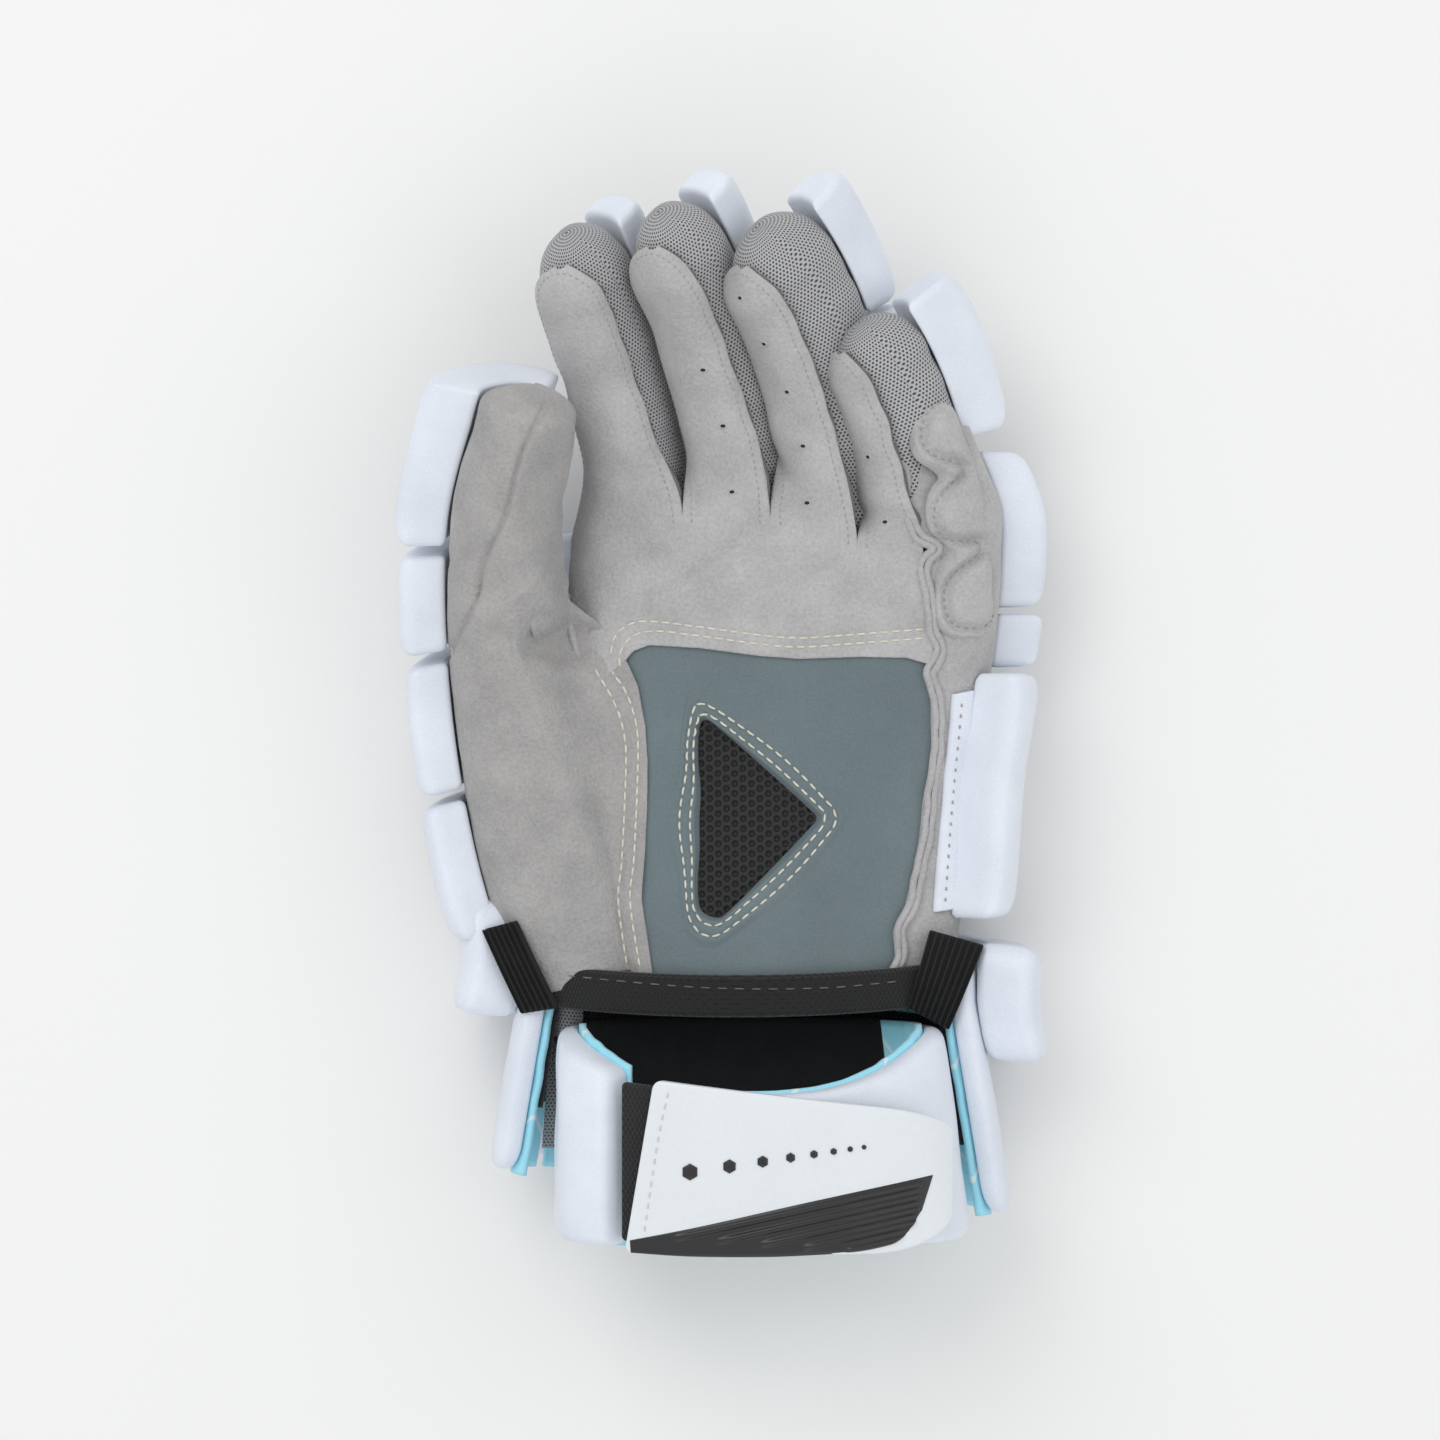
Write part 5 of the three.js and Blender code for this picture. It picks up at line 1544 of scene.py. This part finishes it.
swell = 0.9 * ripples(y, v * 40, 24, 321) + 0.2 * ripples(y, v * 40, 7, 322)
side_cloth = tube_point(hand, y / PALM_LENGTH, angle, 0.5 + swell)
side = surface("side_panel", side_cloth, suede, hand(y / PALM_LENGTH)["centre"], thickness=1.6)
sew_on(side, "suede", "side_suede")
lip_line = evenly(spline(RAISED_SEAM, 14), 3.0)
ahead = unit(np.gradient(lip_line, axis=0))
beside = np.stack([-ahead[:, 1], ahead[:, 0]], -1)
for number, (shift, lift) in enumerate(LIPS):
    x, y = from_pixels(lip_line - beside * shift, LIP_PLANE)
    wave = 0.5 * ripples(x, y, 9, 330 + number)
    line = on_palm(np.minimum(x, LIP_RIGHT), y, lift + wave)
    cord("seam_lip_%d" % number, line, 1.15, suede, "suede", sides=10)
# Between the seam's two lips: a dark grey cord of painted shade in the groove.
x, y = from_pixels(lip_line, LIP_PLANE)
cord("seam_gap_shade", on_palm(np.minimum(x, LIP_RIGHT), y, 0.9), 0.8, piping_grey, "suede")

# The quilted pad's base goes over from the hand's side to the little finger's: shares along and
# degrees round each. Its outline is rows of pixels: height, left end, right end.
SIDE_ON_HAND = ((0.69, 1.02), (3, 50))
SIDE_ON_FINGER = ((-0.5, 0.54), (-50, 12))
LOBES = [(389, 950, 956), (396, 938, 961), (406, 926, 967), (420, 916, 973), (441, 910, 981)]
LOBES += [(458, 917, 987), (470, 933, 991), (478, 940, 993), (486, 934, 995), (500, 928, 998)]
LOBES += [(516, 927, 1001), (532, 931, 1003), (544, 943, 1004), (552, 948, 1005), (560, 941, 1006)]
LOBES += [(575, 934, 1007), (600, 932, 1008), (620, 933, 1007), (632, 938, 1004), (640, 950, 992)]
LOBE_STITCHES = [(950, 398), (937, 404), (925, 417), (921, 434), (926, 450), (940, 459), (954, 462)]
LOBE_STITCHES += [(962, 469), (954, 481), (940, 496), (934, 510), (936, 526), (944, 538), (958, 541)]
LOBE_STITCHES += [(973, 541), (980, 548), (974, 558), (958, 569), (947, 583), (944, 600), (948, 618)]
LOBE_STITCHES += [(958, 627), (976, 628), (994, 622), (1000, 608)]
PAD_RISE = 4.2
RIGHT_TRIM = 14.0
little_tube = finger("little", closed=False)[0]
u, v = spread((-0.06, 1.03, 110), (-0.25, 1.25, 70))
along_hand, round_hand = (between(*limits, share) for limits, share in zip(SIDE_ON_HAND, (u, v)))
along_little, round_little = (between(*limits, share) for limits, share in zip(SIDE_ON_FINGER, (u, v)))
hump = 4.5 * smoothstep(u, 0.3, 0.55) * (1 - smoothstep(u, 0.82, 1.0))
on_hand = tube_point(hand, along_hand, np.radians(round_hand), 0.9)
on_little = tube_point(little_tube, along_little, np.radians(round_little), 0.9 + hump)
side_base = blended(on_hand, on_little, smoothstep(u, 0.35, 0.75))


def rows_between(left, right, count):
    """Pixels in rows, each evenly from a point of one line to the same one of the other."""
    t = np.linspace(0, 1, count)[None, :, None]
    return left[:, None] * (1 - t) + right[:, None] * t


row_y, row_left, row_right = spline(LOBES, 7).T
row_right = np.maximum(row_right - RIGHT_TRIM, row_left + 4)
pixels = rows_between(np.stack([row_left, row_y], -1), np.stack([row_right, row_y], -1), 70)
flat_places, flat_normals = on_cloth(side_base, pixels)
outline = np.concatenate([pixels[:, 0], pixels[::-1, -1], pixels[:1, 0]])
edge_distance = line_distance(pixels, outline)
quilt = groove(path_distance(flat_places, LOBE_STITCHES), 2.9, 1.6)
rise = PAD_RISE * (1 - np.exp(-edge_distance / 1.6)) - quilt
rise -= 1.2 * (1 - smoothstep(edge_distance, 0.0, 3.2))
rise += 0.3 * ripples(pixels[..., 0], pixels[..., 1], 40, 323)
pad_cloth = flat_places + flat_normals * (rise - 0.2)[..., None]
quilted = surface("side_pad", pad_cloth, suede, pad_cloth - [20, 0, 60], thickness=1.4)
sew_on(quilted, "suede", "side_pad")
stitches("side_pad_stitches", pad_cloth, LOBE_STITCHES, grey_thread, pitch=2.5, length=1.7, radius=0.24)

# The side roll's flange: the white leather's turned edge, which lies flat on the side panel and
# is sewn down along a line of grey stitches.
FLANGE_LEFT = [(951, 694), (948, 730), (944, 770), (940, 815), (936, 860), (932, 912)]
FLANGE_RIGHT = [(972, 690), (968, 730), (964, 770), (961, 815), (958, 860), (955, 914)]
FLANGE_STITCHES = [(962, 700), (959, 735), (955, 775), (951, 820), (948, 862), (945, 905)]
left, right = (evenly(spline(line), 2.0) for line in (FLANGE_LEFT, FLANGE_RIGHT))
rows = min(len(left), len(right))
pixels = rows_between(left[:rows], right[:rows], 14)
places, normals = on_cloth(side_cloth, pixels)
turned_down = 1.2 * np.exp(-(np.arange(14) ** 2) / 2)
lift = 1.5 + 0.5 * ripples(pixels[..., 1], pixels[..., 0], 50, 350) - turned_down
flange_cloth = places + normals * lift[..., None]
flange = surface("side_flange", flange_cloth, white_leather, flange_cloth - UNDER, thickness=1.0)
sew_on(flange, "pad")
stitches("flange_stitches", flange_cloth, FLANGE_STITCHES, grey_thread, pitch=3.4, length=1.3, radius=0.3)

# On the plate: a black ribbed wedge along its foot, a plain row of shrinking hexagons and a
# stitch line down its left side. All are moulded or sewn onto its outer face.
WEDGE_TOP = [(630, 1240), (700, 1226), (800, 1203), (900, 1181), (933, 1174)]
WEDGE_FOOT = [(631, 1253), (700, 1257), (800, 1256), (890, 1246), (921, 1212)]
RIBS = 6
RIB_LEFT = (668.0, 1240.0)
RIB_RIGHT = (925.0, 1183.0)
RIB_LEFT_STEP = (44.0, 3.0)
RIB_RIGHT_STEP = (-2.0, 13.0)
DOTS = 8
DOT_FIRST = (690.0, 1172.0)
DOT_LAST = (872.0, 1146.0)
DOT_RADIUS = 2.6
DOT_SHRINK = 0.84
WEDGE_COLUMNS = 180
u, v = spread((0.01, 0.99, 60), (0.005, 0.995, 110))
plate_face = plate_body(u, v, 1, 0)
black_plastic = grained("black_plastic", (20, 19, 21), (27, 26, 28), 0.38, 60, 1500, 0.05, coat=0.25)


def resampled(line, count):
    """A line as a count of points, at even shares of its own."""
    share, own = np.linspace(0, 1, count), np.linspace(0, 1, len(line))
    return np.stack([np.interp(share, own, line[:, k]) for k in (0, 1)], -1)


top, foot = (resampled(spline(line, 40), WEDGE_COLUMNS) for line in (WEDGE_TOP, WEDGE_FOOT))
pixels = rows_between(top, foot, 48)
faces_at, faces_up = on_cloth(plate_face, pixels)
rise = np.full(pixels.shape[:2], 0.25)
for k in range(RIBS):
    first = RIB_LEFT + np.array(RIB_LEFT_STEP) * k
    last = RIB_RIGHT + np.array(RIB_RIGHT_STEP) * k
    ahead = unit(last - first)
    off = pixels - first
    along = (off * ahead).sum(-1) / np.linalg.norm(last - first)
    side = np.abs(off[..., 0] * ahead[1] - off[..., 1] * ahead[0]) * MM_PER_PIXEL
    body = smoothstep(along, 0.0, 0.12) * (1 - smoothstep(along, 0.97, 1.0))
    rise += 0.75 * body * (1 - smoothstep(side, 0.5, 1.25))
across = np.linspace(0, 1, 48)
margin = np.minimum(np.minimum(across, 1 - across) * 20, 1)
rise = rise * margin - 0.2 * (1 - margin)
wedge_face = faces_at + faces_up * rise[..., None]
wedge = surface("plate_wedge", wedge_face, black_plastic, faces_at - UNDER, thickness=0.5)
sew_on(wedge, "plate")
for k in range(DOTS):
    share = (1 - DOT_SHRINK**k) / (1 - DOT_SHRINK**DOTS)
    centre = np.array(DOT_FIRST) + (np.array(DOT_LAST) - DOT_FIRST) * share * 1.02
    radius = DOT_RADIUS * DOT_SHRINK**k / MM_PER_PIXEL
    turn = np.radians(np.arange(6) * 60 + 30)
    ring = np.stack([np.cos(turn), np.sin(turn)], -1)
    rings = centre + radius * np.array([0.02, 0.85, 1.0, 1.0])[:, None, None] * ring
    at, up = on_cloth(plate_face, rings)
    points = at + up * np.array([0.4, 0.4, 0.28, -0.2])[:, None, None]
    dot = surface("plate_dot_%d" % k, points, black_plastic, points - UNDER, wraps=True)
    sew_on(dot, "plate")
PLATE_STITCHES = [(669, 1090), (660, 1130), (652, 1180), (644, 1234)]
white_thread = grained("white_thread", (196, 202, 206), (214, 219, 222), 0.7, 200, 3000, 0.3)
stitches("plate_stitches", plate_face, PLATE_STITCHES, white_thread, pitch=3.4, length=2.2, radius=0.26)

# Smaller parts of the cuff: a dashed seam along the hem, an oval pressed into each side flap,
# and a grey mesh tab with a thin strap, both sewn in under the band's left end.
HEM_STITCHES = [(562, 975), (600, 979), (653, 984), (712, 988), (776, 989), (840, 987), (900, 981)]
u, v = spread((0, 1, 50), (0, 1, 260))
hem_face = hem_body(u, v, 1, 0)
stitches("hem_stitches", hem_face, HEM_STITCHES, piping_grey, pitch=5.2, length=3.2, radius=0.22)

OVALS = {"left": ((519, 1072), 0.1), "right": ((986, 1133), -0.16)}
OVAL_HALF = (6.0, 14.0)
u, v = spread((0, 1, 120), (0, 1, 100))
flap_out = FLAP_IN + FLAP_THICKNESS * pad_height(u, v) - FLAP_SUNK
for name, (centre, lean) in OVALS.items():
    face = flap_face(name, u, v, flap_out)
    turn = np.linspace(0, 2 * math.pi, 60)
    spot = np.stack([np.cos(turn), np.sin(turn)], -1) * OVAL_HALF
    spin = np.array([[math.cos(lean), -math.sin(lean)], [math.sin(lean), math.cos(lean)]])
    line, normal = on_cloth(face, np.array(centre) + spot @ spin.T, 0.02)
    for number, (size, radius) in enumerate(((1.0, 0.42), (0.55, 0.3))):
        ring = line.mean(0) + (line - line.mean(0)) * size
        cord("flap_oval_%s_%d" % (name, number), ring, radius, white_leather, "pad")

tab_mesh = knitted("tab_mesh", (150, 152, 154), (64, 66, 68), 0.0012, 0.3)
# The tab's and the strap's corners as pixels: upper left and right, then lower left and right.
# Then the height that the pixels are read at, how high the piece lies and how far it bulges.
TAB_CORNERS = ((553, 1004), (583, 1007), (553, 1036), (583, 1039))
TAB_PLANE, TAB_UP, TAB_BULGE = 40.0, 38, 3
STRAP_CORNERS = ((550, 1040), (563, 1040), (542, 1148), (555, 1148))
STRAP_PLANE, STRAP_UP, STRAP_BULGE = 34.0, 33, 2
u, v = spread((0, 1, 30), (0, 1, 20))


def flat_piece(name, corners, plane, height):
    """A thin piece of mesh between four corners, at a height that changes over it."""
    x, y = from_pixels(between_corners(corners, u, v), plane)
    piece = surface(name, vec(x, y, height), tab_mesh, vec(x, y, 0), thickness=0.8)
    return sew_on(piece, "mesh")


flat_piece("band_tab", TAB_CORNERS, TAB_PLANE, TAB_UP + TAB_BULGE * np.sin(v * 3))
flat_piece("band_strap", STRAP_CORNERS, STRAP_PLANE, STRAP_UP + STRAP_BULGE * np.sin(u * 3))

# The cut of each sheet of suede, cloth and mesh before it was sewn on: its width, length and area
# in metres, and what it lies on. Nothing below uses it.
SHEETS = {
    "palm": (0.13, 0.19, 0.0139, "hand_back"),
    "thumb_panel": (0.11, 0.175, 0.0126, "thumb_back"),
    "palm_patch.001": (0.097, 0.109, 0.0085, "hand_back"),
    "vent_mesh.001": (0.06, 0.1, 0.0036, "palm_patch"),
    "side_panel": (0.04, 0.176, 0.006, "hand_back"),
    "cuff_underlay.001": (0.048, 0.17, 0.0067, "wrist_roll"),
    "flap_lining_back.001": (0.09, 0.14, 0.0098, "cuff_flap_back"),
    "flap_lining_left.001": (0.036, 0.08, 0.0024, "cuff_flap_left"),
    "flap_lining_right.001": (0.036, 0.08, 0.0025, "cuff_flap_right"),
    "band_lining.001": (0.066, 0.12, 0.007, "band"),
    "band_lining_left": (0.033, 0.066, 0.0021, "band"),
    "band_lining_right": (0.066, 0.1, 0.006, "band"),
}
for name, (width, length, area, carrier) in SHEETS.items():
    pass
